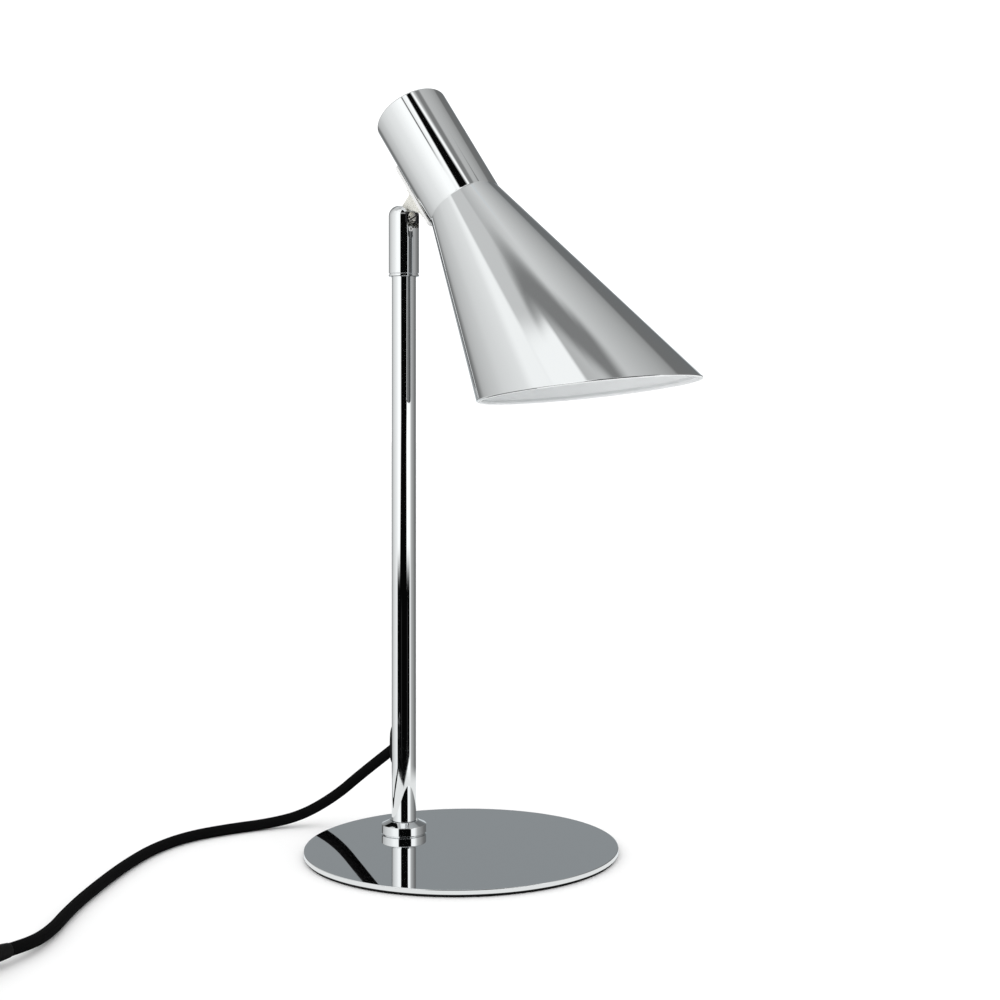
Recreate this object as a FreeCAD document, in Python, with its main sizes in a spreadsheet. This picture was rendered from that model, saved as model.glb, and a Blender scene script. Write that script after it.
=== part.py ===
import FreeCAD, Part
import math
import os
import re

import Sketcher

# Desk lamp: a round chromed base with an upright tube off centre, a swivelling cap with a tilting hinge,
# and a conical shade on a back plate. A textile lead leaves the tube low at the back.
# Millimetres. The origin is the centre of the base on the table, Z is up, and the shade points towards +X.

SIZES = {
    # Base disc and the pad under it
    "base_radius": 100,
    "disc_thickness": 3,
    "disc_edge_round": 0.8,
    "pad_thickness": 1.6,
    "pad_inset": 1.2,
    "pad_hole_radius": 11,
    "pole_offset": 51.8,
    # Collar at the foot of the tube
    "collar_radius": 14.7,
    "collar_wall_height": 6,
    "collar_height": 8.4,
    "collar_mouth_radius": 9.7,
    "collar_lip": 0.7,
    "collar_recess_depth": 1.2,
    "collar_edge": 0.5,
    "collar_foot_edge": 0.7,
    "collar_clearance": 0.1,
    # Upright tube and the slanted hole for the lead
    "pole_radius": 8,
    "pole_wall": 1.2,
    "pole_height": 389,
    "exit_height": 55,
    "exit_slope": 34.2,
    # Foot plug and screw
    "foot_plug_length": 18,
    "foot_plug_edge": 1,
    "foot_screw_radius": 4,
    "foot_screw_length": 17,
    "foot_head_radius": 7,
    "foot_head_height": 2.6,
    "foot_socket_radius": 2.9,
    "foot_socket_depth": 1.8,
    "thread_clearance": 0.05,
    # Grommet
    "grommet_wall": 1.1,
    "grommet_lip": 1.3,
    "grommet_inner_lip": 0.8,
    "grommet_half_width": 5.8,
    "grommet_half_height": 11,
    "grommet_snout": 5,
    "grommet_root": 5,
    "grommet_snout_taper": 0.5,
    # Lead
    "cord_radius": 3.5,
    "lead_bend": 10,
    "floor_gap": 0.6,
    # Plug in the top of the tube, its hollow screw, washers and stop pin
    "top_plug_length": 14,
    "top_flange_thickness": 1.2,
    "top_flange_inset": 0.1,
    "washer_thickness": 0.8,
    "washer_radius": 5.4,
    "swivel_screw_radius": 4,
    "swivel_bore_radius": 2.5,
    "swivel_head_radius": 5.2,
    "swivel_head_height": 2,
    "swivel_screw_reach": 10,
    "spring_washer_thickness": 0.4,
    "stop_pin_radius": 0.65,
    "stop_pin_height": 1.4,
    "stop_pin_seat": 2,
    "stop_groove_depth": 1.8,
    "stop_groove_half_width": 0.9,
    "swivel_limit": 165,
    "stop_slack": 0.5,
    "degrees_per_radian": 57.3,
    "running_clearance": 0.06,
    "face_clearance": 0.05,
    # Cap
    "cap_radius": 10,
    "cap_length": 46.8,
    "cap_overlap": 23.6,
    "cap_shoulder": 7,
    "cap_edge": 0.4,
    "cap_line_height": 2.6,
    "cap_line_width": 0.5,
    "cap_line_depth": 0.3,
    "partition_thickness": 5.9,
    "slot_width": 11,
    "slot_corner": 3,
    "slot_back": 6.9,
    # Hinge screw
    "hinge_rise": 6.3,
    "hinge_screw_radius": 1.8,
    "hinge_head_radius": 3.3,
    "hinge_head_height": 1.6,
    "hinge_head_sink": 0.4,
    "hinge_blind_wall": 1.5,
    "driver_slot_width": 0.9,
    "driver_slot_depth": 0.8,
    # Friction screw in the mouth of the slot
    "friction_rise": 0.8,
    "friction_nut_setback": 0.5,
    "friction_nut_thickness": 2,
    "friction_nut_height": 7,
    "friction_nut_key": 0.8,
    "friction_screw_radius": 1.5,
    "friction_head_radius": 3.7,
    "friction_head_thickness": 2,
    "friction_head_round": 1.1,
    "friction_seat_gap": 0.2,
    "friction_tip_gap": 0.1,
    "friction_slot_turn": 28,
    # Head, measured from the hinge: across is square to the neck, up is along it
    "tilt": 37.33,
    "hinge_reach": 22.2,
    "hinge_above_crease": 30.4,
    "neck_radius": 24.7,
    "neck_length": 80.8,
    "neck_lip": 2.6,
    "neck_round": 1.2,
    "shade_wall": 1,
    "cone_angle": 13.91,
    "rim_distance": 148.8,
    "rim_slope": 30.26,
    # Back plate
    "plate_gap": 0.6,
    "plate_thickness": 2.5,
    "plate_width": 15,
    "plate_corner": 3,
    "plate_edge": 0.5,
    "plate_drop": 23.4,
    "plate_rise": 28.1,
    # Tongue
    "tongue_thickness": 3,
    "knuckle_radius": 4.5,
    "foot_rise": 9.4,
    "foot_drop": 13.8,
    "heel_back": 1.5,
    "heel_rise": 5.7,
    "heel_tangent_angle": 145,
    "notch_reach": 7.2,
    "notch_rise": 3,
    "toe_angle": 7.4,
    "tongue_flange_thickness": 1.6,
    "tongue_flange_width": 11,
    "rivet_radius": 1.2,
    "rivet_side": 3.7,
    "rivet_inset": 4,
    # Spacers between plate and neck
    "spacer_width": 13,
    "spacer_low": 21.5,
    "spacer_low_length": 20,
    "spacer_high": 14,
    "spacer_high_length": 10,
    "rib_pitch": 1.25,
    "rib_width": 0.6,
    "rib_depth": 0.5,
    # Screws through the plate, with nuts inside the neck
    "plate_screw_radius": 2,
    "plate_screw_low": 18.4,
    "plate_screw_high": 19,
    "plate_head_radius": 3.6,
    "plate_head_height": 2.2,
    "plate_nut_radius": 4,
    "plate_nut_height": 3.2,
    "plate_screw_end": 1,
    # Bracket and holder inside the neck
    "bracket_width": 12,
    "bracket_thickness": 1.5,
    "bracket_below_screw": 7,
    "bracket_above_screw": 8.6,
    "bracket_reach": 9,
    "bracket_clearance": 0.05,
    "nipple_radius": 5,
    "nipple_bore_radius": 3.4,
    "nipple_above": 6,
    "nipple_below": 8,
    "nipple_nut_radius": 8,
    "nipple_nut_height": 3.5,
    "holder_radius": 13.5,
    "holder_length": 46,
    "holder_neck_radius": 8.5,
    "holder_neck_length": 9,
    "holder_shoulder": 6,
    "holder_bore_radius": 7.8,
    "holder_bore_depth": 28,
    "holder_edge": 1,
    "sleeve_wall": 0.4,
    "sleeve_length": 18,
    "sleeve_setback": 6,
    "contact_width": 4,
    "contact_thickness": 0.5,
    "contact_length": 9,
    "contact_stand": 2.4,
    # Bulb
    "bulb_cap_radius": 6.8,
    "bulb_cap_length": 17,
    "bulb_tip_radius": 3.4,
    "bulb_tip_length": 2,
    "bulb_tip_gap": 0.4,
    "bulb_radius": 22.5,
    "bulb_stem_radius": 6.2,
    "bulb_stem_length": 12,
    "bulb_stem_round": 14,
    "bulb_wall": 0.8,
    # Rocker switch on the lead
    "switch_length": 56,
    "switch_width": 24,
    "switch_height": 15,
    "switch_split": 7.5,
    "switch_corner": 6,
    "switch_edge": 2,
    "window_length": 19,
    "window_width": 10.4,
    "window_depth": 6.5,
    "rocker_clearance": 0.45,
    "rocker_pivot_drop": 3.2,
    "rocker_pivot_radius": 1,
    "rocker_pivot_seat": 2,
    "rocker_rise": 1.6,
    "rocker_limit": 8,
    "switch_screw_radius": 1.4,
    "switch_screw_head_radius": 2.6,
    "switch_screw_head_depth": 1.6,
    "switch_screw_length": 9,
    "switch_screw_inset": 8,
    # Plug
    "plug_length": 36,
    "plug_width": 35,
    "plug_back_width": 16,
    "plug_thickness": 13.6,
    "plug_edge": 2.5,
    "plug_waist_share": 0.45,
    "plug_relief_length": 22,
    "plug_relief_wall": 1.2,
    "plug_relief_flare": 2,
    "pin_radius": 2,
    "pin_length": 19,
    "pin_spacing": 18.6,
    "pin_round": 1,
    # Coil of the length that is put away
    "coil_radius": 48,
    "coil_gap": 0.6,
    "coil_lead_in": 8,
    "coil_descent": 40,
    "tail_length": 36,
    "tie_width": 9,
    "tie_thickness": 0.5,
    "tie_clearance": 0.1,
}

# The lead's route from the grommet to the switch, as points chosen by hand in X, Y and height of its centre.
# The first lies at the end of the grommet's snout, the last on the inlet face of the switch.
CORD_ROUTE = [
    (-63.93, 0, 56.79),
    (-92, 0, 37.5),
    (-113.5, -2, 20.5),
    (-130.5, -17.5, 7),
    (-141, -39.5, 3.5),
    (-150.5, -66, 3.5),
    (-155.5, -96.5, 3.5),
    (-148, -128.5, 3.5),
    (-130, -163, 3.5),
    (-106.5, -199.5, 3.5),
    (-78.5, -239, 3.5),
    (-45, -277.5, 4),
    (-28, -307, 7.5),
    (-28, -332, 7.5),
]

# How near two numbers are to count as the same
SAME = 1e-6

# Quarter turns of the coil on the floor, in the climb, and on top
COUNT_DOWN = 10
COUNT_CLIMB = 2
COUNT_UP = 10
COUNT_TOTAL = COUNT_DOWN + COUNT_CLIMB + COUNT_UP

# How far the band round the coil reaches to each side, in quarter turns
TIE_SPREAD = 0.12

# Worked out from the sizes
DISC_TOP = "(pad_thickness + disc_thickness)"
POLE_BORE = "(pole_radius - pole_wall)"
STOP_CIRCLE = f"({POLE_BORE} - stop_pin_radius - face_clearance)"
FLANGE_TOP = "(pole_height + top_flange_thickness)"
PARTITION = f"({FLANGE_TOP} + washer_thickness + 2 * face_clearance)"
SLOT_FLOOR = f"({PARTITION} + partition_thickness)"
CAP_BOTTOM = "(pole_height - cap_overlap)"
HINGE = f"({SLOT_FLOOR} + hinge_rise)"
FRICTION = f"({HINGE} + friction_rise)"
NUT_NEAR = "(knuckle_radius + friction_nut_setback)"
NUT_FAR = f"({NUT_NEAR} + friction_nut_thickness)"
HEAD_NEAR = f"({NUT_FAR} + friction_seat_gap)"
NECK_AXIS = "(hinge_reach + neck_radius)"
PLATE_FRONT = "(hinge_reach - plate_gap)"
PLATE_REAR = "(hinge_reach - plate_gap - plate_thickness)"
CREASE_X = f"({NECK_AXIS} * cos(tilt) + hinge_above_crease * sin(tilt) - pole_offset)"
CREASE_Z = f"({DISC_TOP} + {HINGE} + {NECK_AXIS} * sin(tilt) - hinge_above_crease * cos(tilt))"
BRACKET_REAR = "(sqrt((neck_radius - shade_wall) ^ 2 - bracket_width ^ 2 / 4) - bracket_clearance)"
BRACKET_FOOT = "(hinge_above_crease - plate_screw_low - bracket_below_screw)"
BRACKET_TOP = "(hinge_above_crease + plate_screw_high + bracket_above_screw)"
HOLDER_TOP = f"({BRACKET_TOP} - bracket_thickness)"
HOLDER_MOUTH = f"({HOLDER_TOP} - holder_length)"
BORE_TOP = f"({HOLDER_MOUTH} + holder_bore_depth)"
BULB_TIP = f"({BORE_TOP} - contact_stand - bulb_tip_gap)"
CAP_END = f"({BULB_TIP} - bulb_tip_length - bulb_cap_length)"
ROCKER_AXIS = "(switch_height - rocker_pivot_drop)"

document = FreeCAD.newDocument("DeskLamp")
sheet = document.addObject("Spreadsheet::Sheet", "Sizes")
for row, (alias, number) in enumerate(SIZES.items(), 1):
    sheet.set(f"A{row}", alias)
    sheet.set(f"B{row}", str(number))
    sheet.setAlias(f"B{row}", alias)
document.recompute()


def bound(text):
    """The expression that binds a property to the sheet: every name gets the sheet's name before it."""
    return re.sub(r"\b([a-z]\w*)\b(?!\s*\()", r"Sizes.\1", text)


def size(text):
    """The number that a size, or a sum of sizes, has now."""
    return float(sheet.evalExpression(text))


def bind(thing, **properties):
    """Bind properties of an object to sums of sizes."""
    for name, text in properties.items():
        thing.setExpression(name, bound(text))


def place(thing, across="0", along="0", height="0", turn=None, axis=(0, 1, 0)):
    """Put an object at X, Y and Z, turned about an axis by an angle in degrees."""
    if turn:
        thing.Placement = FreeCAD.Placement(FreeCAD.Vector(), FreeCAD.Rotation(FreeCAD.Vector(*axis), 1))
        thing.setExpression("Placement.Rotation.Angle", bound(turn))
    for letter, text in (("x", across), ("y", along), ("z", height)):
        if text != "0":
            thing.setExpression(f"Placement.Base.{letter}", bound(text))


def on_pole(thing):
    """Put an object's own origin on the tube's axis, at the top of the base disc."""
    place(thing, across="0 - pole_offset", height=DISC_TOP)


def on_hinge(thing):
    """Put an object's own origin on the hinge, with its Z along the neck."""
    place(thing, across="0 - pole_offset", height=f"{DISC_TOP} + {HINGE}", turn="0 - tilt")


def on_neck(thing):
    """Put an object's own origin on the neck's axis at the crease, with its Z up the neck."""
    place(thing, across=CREASE_X, height=CREASE_Z, turn="0 - tilt")


def new_body(label):
    body = document.addObject("PartDesign::Body", label)
    body.Label = label
    return body


def new_sketch(body, plane, name, shift=None, aside=None):
    """A sketch on one of the body's own planes, moved off it by shift, and within it by aside."""
    sketch = body.newObject("Sketcher::SketchObject", name)
    face = [feature for feature in body.Origin.OriginFeatures if feature.Role == plane][0]
    sketch.AttachmentSupport = [(face, "")]
    sketch.MapMode = "FlatFace"
    if shift:
        sketch.setExpression("AttachmentOffset.Base.z", bound(shift))
    if aside:
        sketch.setExpression("AttachmentOffset.Base.x", bound(aside[0]))
        sketch.setExpression("AttachmentOffset.Base.y", bound(aside[1]))
    return sketch


def pin_point(sketch, edge, point, across, up):
    """Hold a point of a sketch at two sums of sizes from the sketch's origin."""
    for kind, line, text in (("DistanceX", -2, across), ("DistanceY", -1, up)):
        if text == "0":
            sketch.addConstraint(Sketcher.Constraint("PointOnObject", edge, point, line))
        else:
            rule = Sketcher.Constraint(kind, -1, 1, edge, point, size(text))
            sketch.setExpression(f"Constraints[{sketch.addConstraint(rule)}]", bound(text))


def circle(sketch, radius, across="0", up="0"):
    """Draw a circle whose radius and centre are sums of sizes."""
    centre = FreeCAD.Vector(size(across), size(up), 0)
    edge = sketch.addGeometry(Part.Circle(centre, FreeCAD.Vector(0, 0, 1), size(radius)), False)
    rule = sketch.addConstraint(Sketcher.Constraint("Radius", edge, size(radius)))
    sketch.setExpression(f"Constraints[{rule}]", bound(radius))
    pin_point(sketch, edge, 3, across, up)


def outline(sketch, corners):
    """Draw a closed outline. A corner is (across, up), and the edge after it is straight.
    After (across, up, radius, 1) the edge turns left round an arc of that radius, with -1 it turns right."""
    places = [FreeCAD.Vector(size(corner[0]), size(corner[1]), 0) for corner in corners]
    starts, ends = [], []
    for number, corner in enumerate(corners):
        start, end = places[number], places[(number + 1) % len(corners)]
        if len(corner) == 2:
            edge = sketch.addGeometry(Part.LineSegment(start, end), False)
            starts.append((edge, 1))
            ends.append((edge, 2))
            continue
        radius, side = size(corner[2]), corner[3]
        chord = end - start
        left = FreeCAD.Vector(-chord.y, chord.x, 0).normalize()
        rise = math.sqrt(max(radius ** 2 - chord.Length ** 2 / 4, 0))
        ring = Part.Circle((start + end) * 0.5 + left * rise * side, FreeCAD.Vector(0, 0, 1), radius)
        first, last = (start, end) if side > 0 else (end, start)
        low, high = ring.parameter(first), ring.parameter(last)
        if high < low:
            high += 2 * math.pi
        edge = sketch.addGeometry(Part.ArcOfCircle(ring, low, high), False)
        starts.append((edge, 1 if side > 0 else 2))
        ends.append((edge, 2 if side > 0 else 1))
        rule = sketch.addConstraint(Sketcher.Constraint("Radius", edge, radius))
        sketch.setExpression(f"Constraints[{rule}]", bound(corner[2]))
    for number, corner in enumerate(corners):
        sketch.addConstraint(Sketcher.Constraint("Coincident", *ends[number - 1], *starts[number]))
        pin_point(sketch, *starts[number], corner[0], corner[1])


def rectangle(sketch, left, right, low, high):
    outline(sketch, [(left, low), (right, low), (right, high), (left, high)])


def rounded_rectangle(sketch, left, right, low, high, radius):
    """A rectangle with four round corners."""
    outline(sketch, [
        (f"{left} + {radius}", low),
        (f"{right} - {radius}", low, radius, 1),
        (right, f"{low} + {radius}"),
        (right, f"{high} - {radius}", radius, 1),
        (f"{right} - {radius}", high),
        (f"{left} + {radius}", high, radius, 1),
        (left, f"{high} - {radius}"),
        (left, f"{low} + {radius}", radius, 1),
    ])


def hexagon(sketch, radius):
    """A hexagon whose corners lie on a circle of that radius."""
    outline(sketch, [(f"{radius} * cos({60 * step})", f"{radius} * sin({60 * step})") for step in range(6)])


def turned(body, name, corners, aside=None, cut=False, plane="XZ_Plane", sweep=None):
    """Turn an outline about its sketch's upright axis, to add to the body or to cut it."""
    sketch = new_sketch(body, plane, f"{name}_outline", aside=aside)
    outline(sketch, corners)
    feature = body.newObject("PartDesign::Groove" if cut else "PartDesign::Revolution", name)
    feature.Profile = sketch
    feature.ReferenceAxis = (sketch, ["V_Axis"])
    feature.Midplane = True
    feature.Angle = 360
    if sweep:
        bind(feature, Angle=sweep)
    return feature


def padded(body, sketch, name, length, both_ways=False, backwards=False):
    """Pad a sketch by a length, on one side or half each way."""
    feature = body.newObject("PartDesign::Pad", name)
    feature.Profile = sketch
    feature.Midplane = both_ways
    feature.Reversed = backwards
    bind(feature, Length=length)
    return feature


def pocketed(body, sketch, name, length, both_ways=False, backwards=False):
    """Pocket a sketch by a length. Unless backwards, it cuts against the sketch's normal."""
    feature = body.newObject("PartDesign::Pocket", name)
    feature.Profile = sketch
    feature.Midplane = both_ways
    feature.Reversed = backwards
    bind(feature, Length=length)
    return feature


def repeated(body, feature, name, direction, length, count):
    """Repeat a feature of a body in a row."""
    pattern = body.newObject("PartDesign::LinearPattern", name)
    pattern.Originals = [feature]
    pattern.Direction = direction
    pattern.Length = length
    pattern.Occurrences = count
    body.Tip = pattern
    return pattern


def cylinder(name, radius, length, **where):
    """A plain cylinder, as a tool for booleans or a piece of its own."""
    rod = document.addObject("Part::Cylinder", name)
    rod.Label = name
    bind(rod, Radius=radius, Height=length)
    place(rod, **where)
    return rod


def boolean(kind, name, base, tool):
    """Cut a tool from a base, or keep what they share."""
    result = document.addObject(f"Part::{kind}", name)
    result.Label = name
    result.Base, result.Tool = base, tool
    return result


def fused(name, pieces):
    result = document.addObject("Part::MultiFuse", name)
    result.Label = name
    result.Shapes = pieces
    return result


def grouped(name, pieces):
    """Several separate solids under one name."""
    result = document.addObject("Part::Compound", name)
    result.Label = name
    result.Links = pieces
    return result


# Base disc, with a countersunk hole under the tube

def base_disc():
    body = new_body("base_disc")
    turned(body, "disc", [
        ("0", "pad_thickness"),
        ("base_radius - disc_edge_round", "pad_thickness", "disc_edge_round", 1),
        ("base_radius", "pad_thickness + disc_edge_round"),
        ("base_radius", f"{DISC_TOP} - disc_edge_round", "disc_edge_round", 1),
        ("base_radius - disc_edge_round", DISC_TOP),
        ("0", DISC_TOP),
    ])
    turned(body, "screw_hole", [
        ("0", "pad_thickness - face_clearance"),
        ("foot_head_radius + thread_clearance", "pad_thickness - face_clearance"),
        ("foot_head_radius + thread_clearance", "pad_thickness"),
        ("foot_screw_radius + thread_clearance", "pad_thickness + foot_head_height"),
        ("foot_screw_radius + thread_clearance", f"{DISC_TOP} + face_clearance"),
        ("0", f"{DISC_TOP} + face_clearance"),
    ], aside=("0 - pole_offset", "0"), cut=True)
    return body


def base_pad():
    body = new_body("base_pad")
    sheet_sketch = new_sketch(body, "XY_Plane", "pad_outline")
    circle(sheet_sketch, "base_radius - pad_inset")
    circle(sheet_sketch, "pad_hole_radius", across="0 - pole_offset")
    padded(body, sheet_sketch, "pad", "pad_thickness")
    return body


def base_collar():
    body = new_body("base_collar")
    bore = "pole_radius + collar_clearance"
    turned(body, "collar", [
        (bore, "0"),
        ("collar_radius - collar_foot_edge", "0"),
        ("collar_radius", "collar_foot_edge"),
        ("collar_radius", "collar_wall_height - collar_edge"),
        ("collar_radius - collar_edge", "collar_wall_height"),
        ("collar_mouth_radius", "collar_height"),
        ("collar_mouth_radius - collar_lip", "collar_height"),
        ("collar_mouth_radius - collar_lip", "collar_height - collar_recess_depth"),
        (bore, "collar_height - collar_recess_depth"),
    ])
    on_pole(body)
    return body


# Foot plug in the tube and the countersunk screw that holds the disc

def foot_plug():
    body = new_body("foot_plug")
    bore = "foot_screw_radius + thread_clearance"
    turned(body, "plug", [
        (bore, "0"),
        (POLE_BORE, "0"),
        (POLE_BORE, "foot_plug_length - foot_plug_edge"),
        (f"{POLE_BORE} - foot_plug_edge", "foot_plug_length"),
        (bore, "foot_plug_length"),
    ])
    on_pole(body)
    return body


def foot_screw():
    body = new_body("foot_screw")
    turned(body, "screw", [
        ("0", "0 - disc_thickness"),
        ("foot_head_radius", "0 - disc_thickness"),
        ("foot_screw_radius", "foot_head_height - disc_thickness"),
        ("foot_screw_radius", "foot_screw_length - disc_thickness"),
        ("0", "foot_screw_length - disc_thickness"),
    ])
    socket = new_sketch(body, "XY_Plane", "socket_outline", shift="0 - disc_thickness")
    hexagon(socket, "foot_socket_radius")
    pocketed(body, socket, "socket", "foot_socket_depth", backwards=True)
    on_pole(body)
    return body


# Upright tube: its hole for the lead slants down and back

def slanted(name, radius, start, length):
    """A cylinder along the lead's line through the tube's wall, from start to length beyond its outer face."""
    rod = document.addObject("Part::Cylinder", name)
    rod.Label = name
    bind(rod, Radius=radius, Height=f"{length} - ({start})")
    away = f"(pole_radius + ({start}) * cos(exit_slope))"
    level = f"(exit_height - ({start}) * sin(exit_slope))"
    place(rod, across=f"0 - {away} - pole_offset", height=f"{DISC_TOP} + {level}", turn="0 - 90 - exit_slope")
    return rod


def pole_tube():
    at_pole = {"across": "0 - pole_offset", "height": DISC_TOP}
    outside = cylinder("tube_outside", "pole_radius", "pole_height", **at_pole)
    inside = cylinder("tube_inside", POLE_BORE, "pole_height", **at_pole)
    hole = slanted("tube_hole", "cord_radius + grommet_wall", "0 - pole_radius", "pole_radius")
    tube = boolean("Cut", "tube_blank", outside, inside)
    return boolean("Cut", "pole_tube", tube, hole)


def cord_grommet(tube_piece):
    """A rubber grommet: an oval flange on the tube, a barrel through its wall and a short snout on the lead."""
    at_pole = {"across": "0 - pole_offset", "height": DISC_TOP}
    oval = document.addObject("Part::Ellipse", "grommet_oval")
    bind(oval, MajorRadius="grommet_half_height", MinorRadius="grommet_half_width")
    oval.Placement.Rotation = FreeCAD.Rotation(FreeCAD.Vector(0, 1, 0), -90)
    place(oval, across="0 - pole_offset", height=f"{DISC_TOP} + exit_height")
    prism = document.addObject("Part::Extrusion", "grommet_prism")
    prism.Base = oval
    prism.DirMode = "Custom"
    prism.Dir = FreeCAD.Vector(-1, 0, 0)
    prism.Solid = True
    bind(prism, LengthFwd="2 * pole_radius")
    skin = cylinder("grommet_skin", "pole_radius + grommet_lip", "pole_height", **at_pole)
    bore = cylinder("grommet_bore", f"{POLE_BORE} - grommet_inner_lip", "pole_height", **at_pole)
    flange = boolean("Common", "grommet_flange", prism, skin)
    snout = document.addObject("Part::Cone", "grommet_cone")
    bind(snout, Radius1="cord_radius + grommet_wall + grommet_snout_taper", Radius2="cord_radius + grommet_wall",
         Height="grommet_snout + grommet_root")
    place(snout, across="grommet_root * cos(exit_slope) - pole_radius - pole_offset",
          height=f"{DISC_TOP} + exit_height + grommet_root * sin(exit_slope)", turn="0 - 90 - exit_slope")
    whole = boolean("Cut", "grommet_ring", fused("grommet_whole", [flange, snout]), bore)
    clamped = boolean("Cut", "grommet_clamped", whole, tube_piece)
    passage = slanted("grommet_passage", "cord_radius", "0 - pole_radius", "grommet_snout + pole_radius")
    return boolean("Cut", "cord_grommet", clamped, passage)


# Plug in the top of the tube, with what the cap turns on

def top_plug():
    body = new_body("top_plug")
    bore = "swivel_screw_radius + thread_clearance"
    turned(body, "plug", [
        (bore, "pole_height - top_plug_length"),
        (POLE_BORE, "pole_height - top_plug_length"),
        (POLE_BORE, "pole_height"),
        ("pole_radius - top_flange_inset", "pole_height"),
        ("pole_radius - top_flange_inset", FLANGE_TOP),
        (bore, FLANGE_TOP),
    ])
    seat = new_sketch(body, "XY_Plane", "pin_seat_outline", shift=FLANGE_TOP)
    circle(seat, "stop_pin_radius", across=STOP_CIRCLE)
    pocketed(body, seat, "pin_seat", "stop_pin_seat")
    on_pole(body)
    return body


def stop_pin():
    return cylinder("stop_pin", "stop_pin_radius", "stop_pin_seat + washer_thickness + stop_pin_height",
                    across=f"{STOP_CIRCLE} - pole_offset",
                    height=f"{DISC_TOP} + {FLANGE_TOP} - stop_pin_seat")


def swivel_washer():
    body = new_body("swivel_washer")
    ring = new_sketch(body, "XY_Plane", "ring_outline", shift=FLANGE_TOP)
    circle(ring, "washer_radius")
    circle(ring, "swivel_screw_radius + running_clearance")
    padded(body, ring, "ring", "washer_thickness")
    on_pole(body)
    return body


def swivel_screw():
    """A hollow screw: the cap turns under its head, and the wires pass through it."""
    body = new_body("swivel_screw")
    head = f"({SLOT_FLOOR} - swivel_head_height)"
    turned(body, "screw", [
        ("swivel_bore_radius", "pole_height - swivel_screw_reach"),
        ("swivel_screw_radius", "pole_height - swivel_screw_reach"),
        ("swivel_screw_radius", head),
        ("swivel_head_radius", head),
        ("swivel_head_radius", f"{SLOT_FLOOR} - face_clearance"),
        ("swivel_bore_radius", f"{SLOT_FLOOR} - face_clearance"),
    ])
    on_pole(body)
    return body


def spring_washer():
    body = new_body("spring_washer")
    top = f"({SLOT_FLOOR} - swivel_head_height - face_clearance)"
    ring = new_sketch(body, "XY_Plane", "ring_outline", shift=f"{top} - spring_washer_thickness")
    circle(ring, "swivel_head_radius")
    circle(ring, "swivel_screw_radius + running_clearance")
    padded(body, ring, "ring", "spring_washer_thickness")
    on_pole(body)
    return body


# Cap: a sleeve on the tube below, a partition, and a fork for the tongue above

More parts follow.
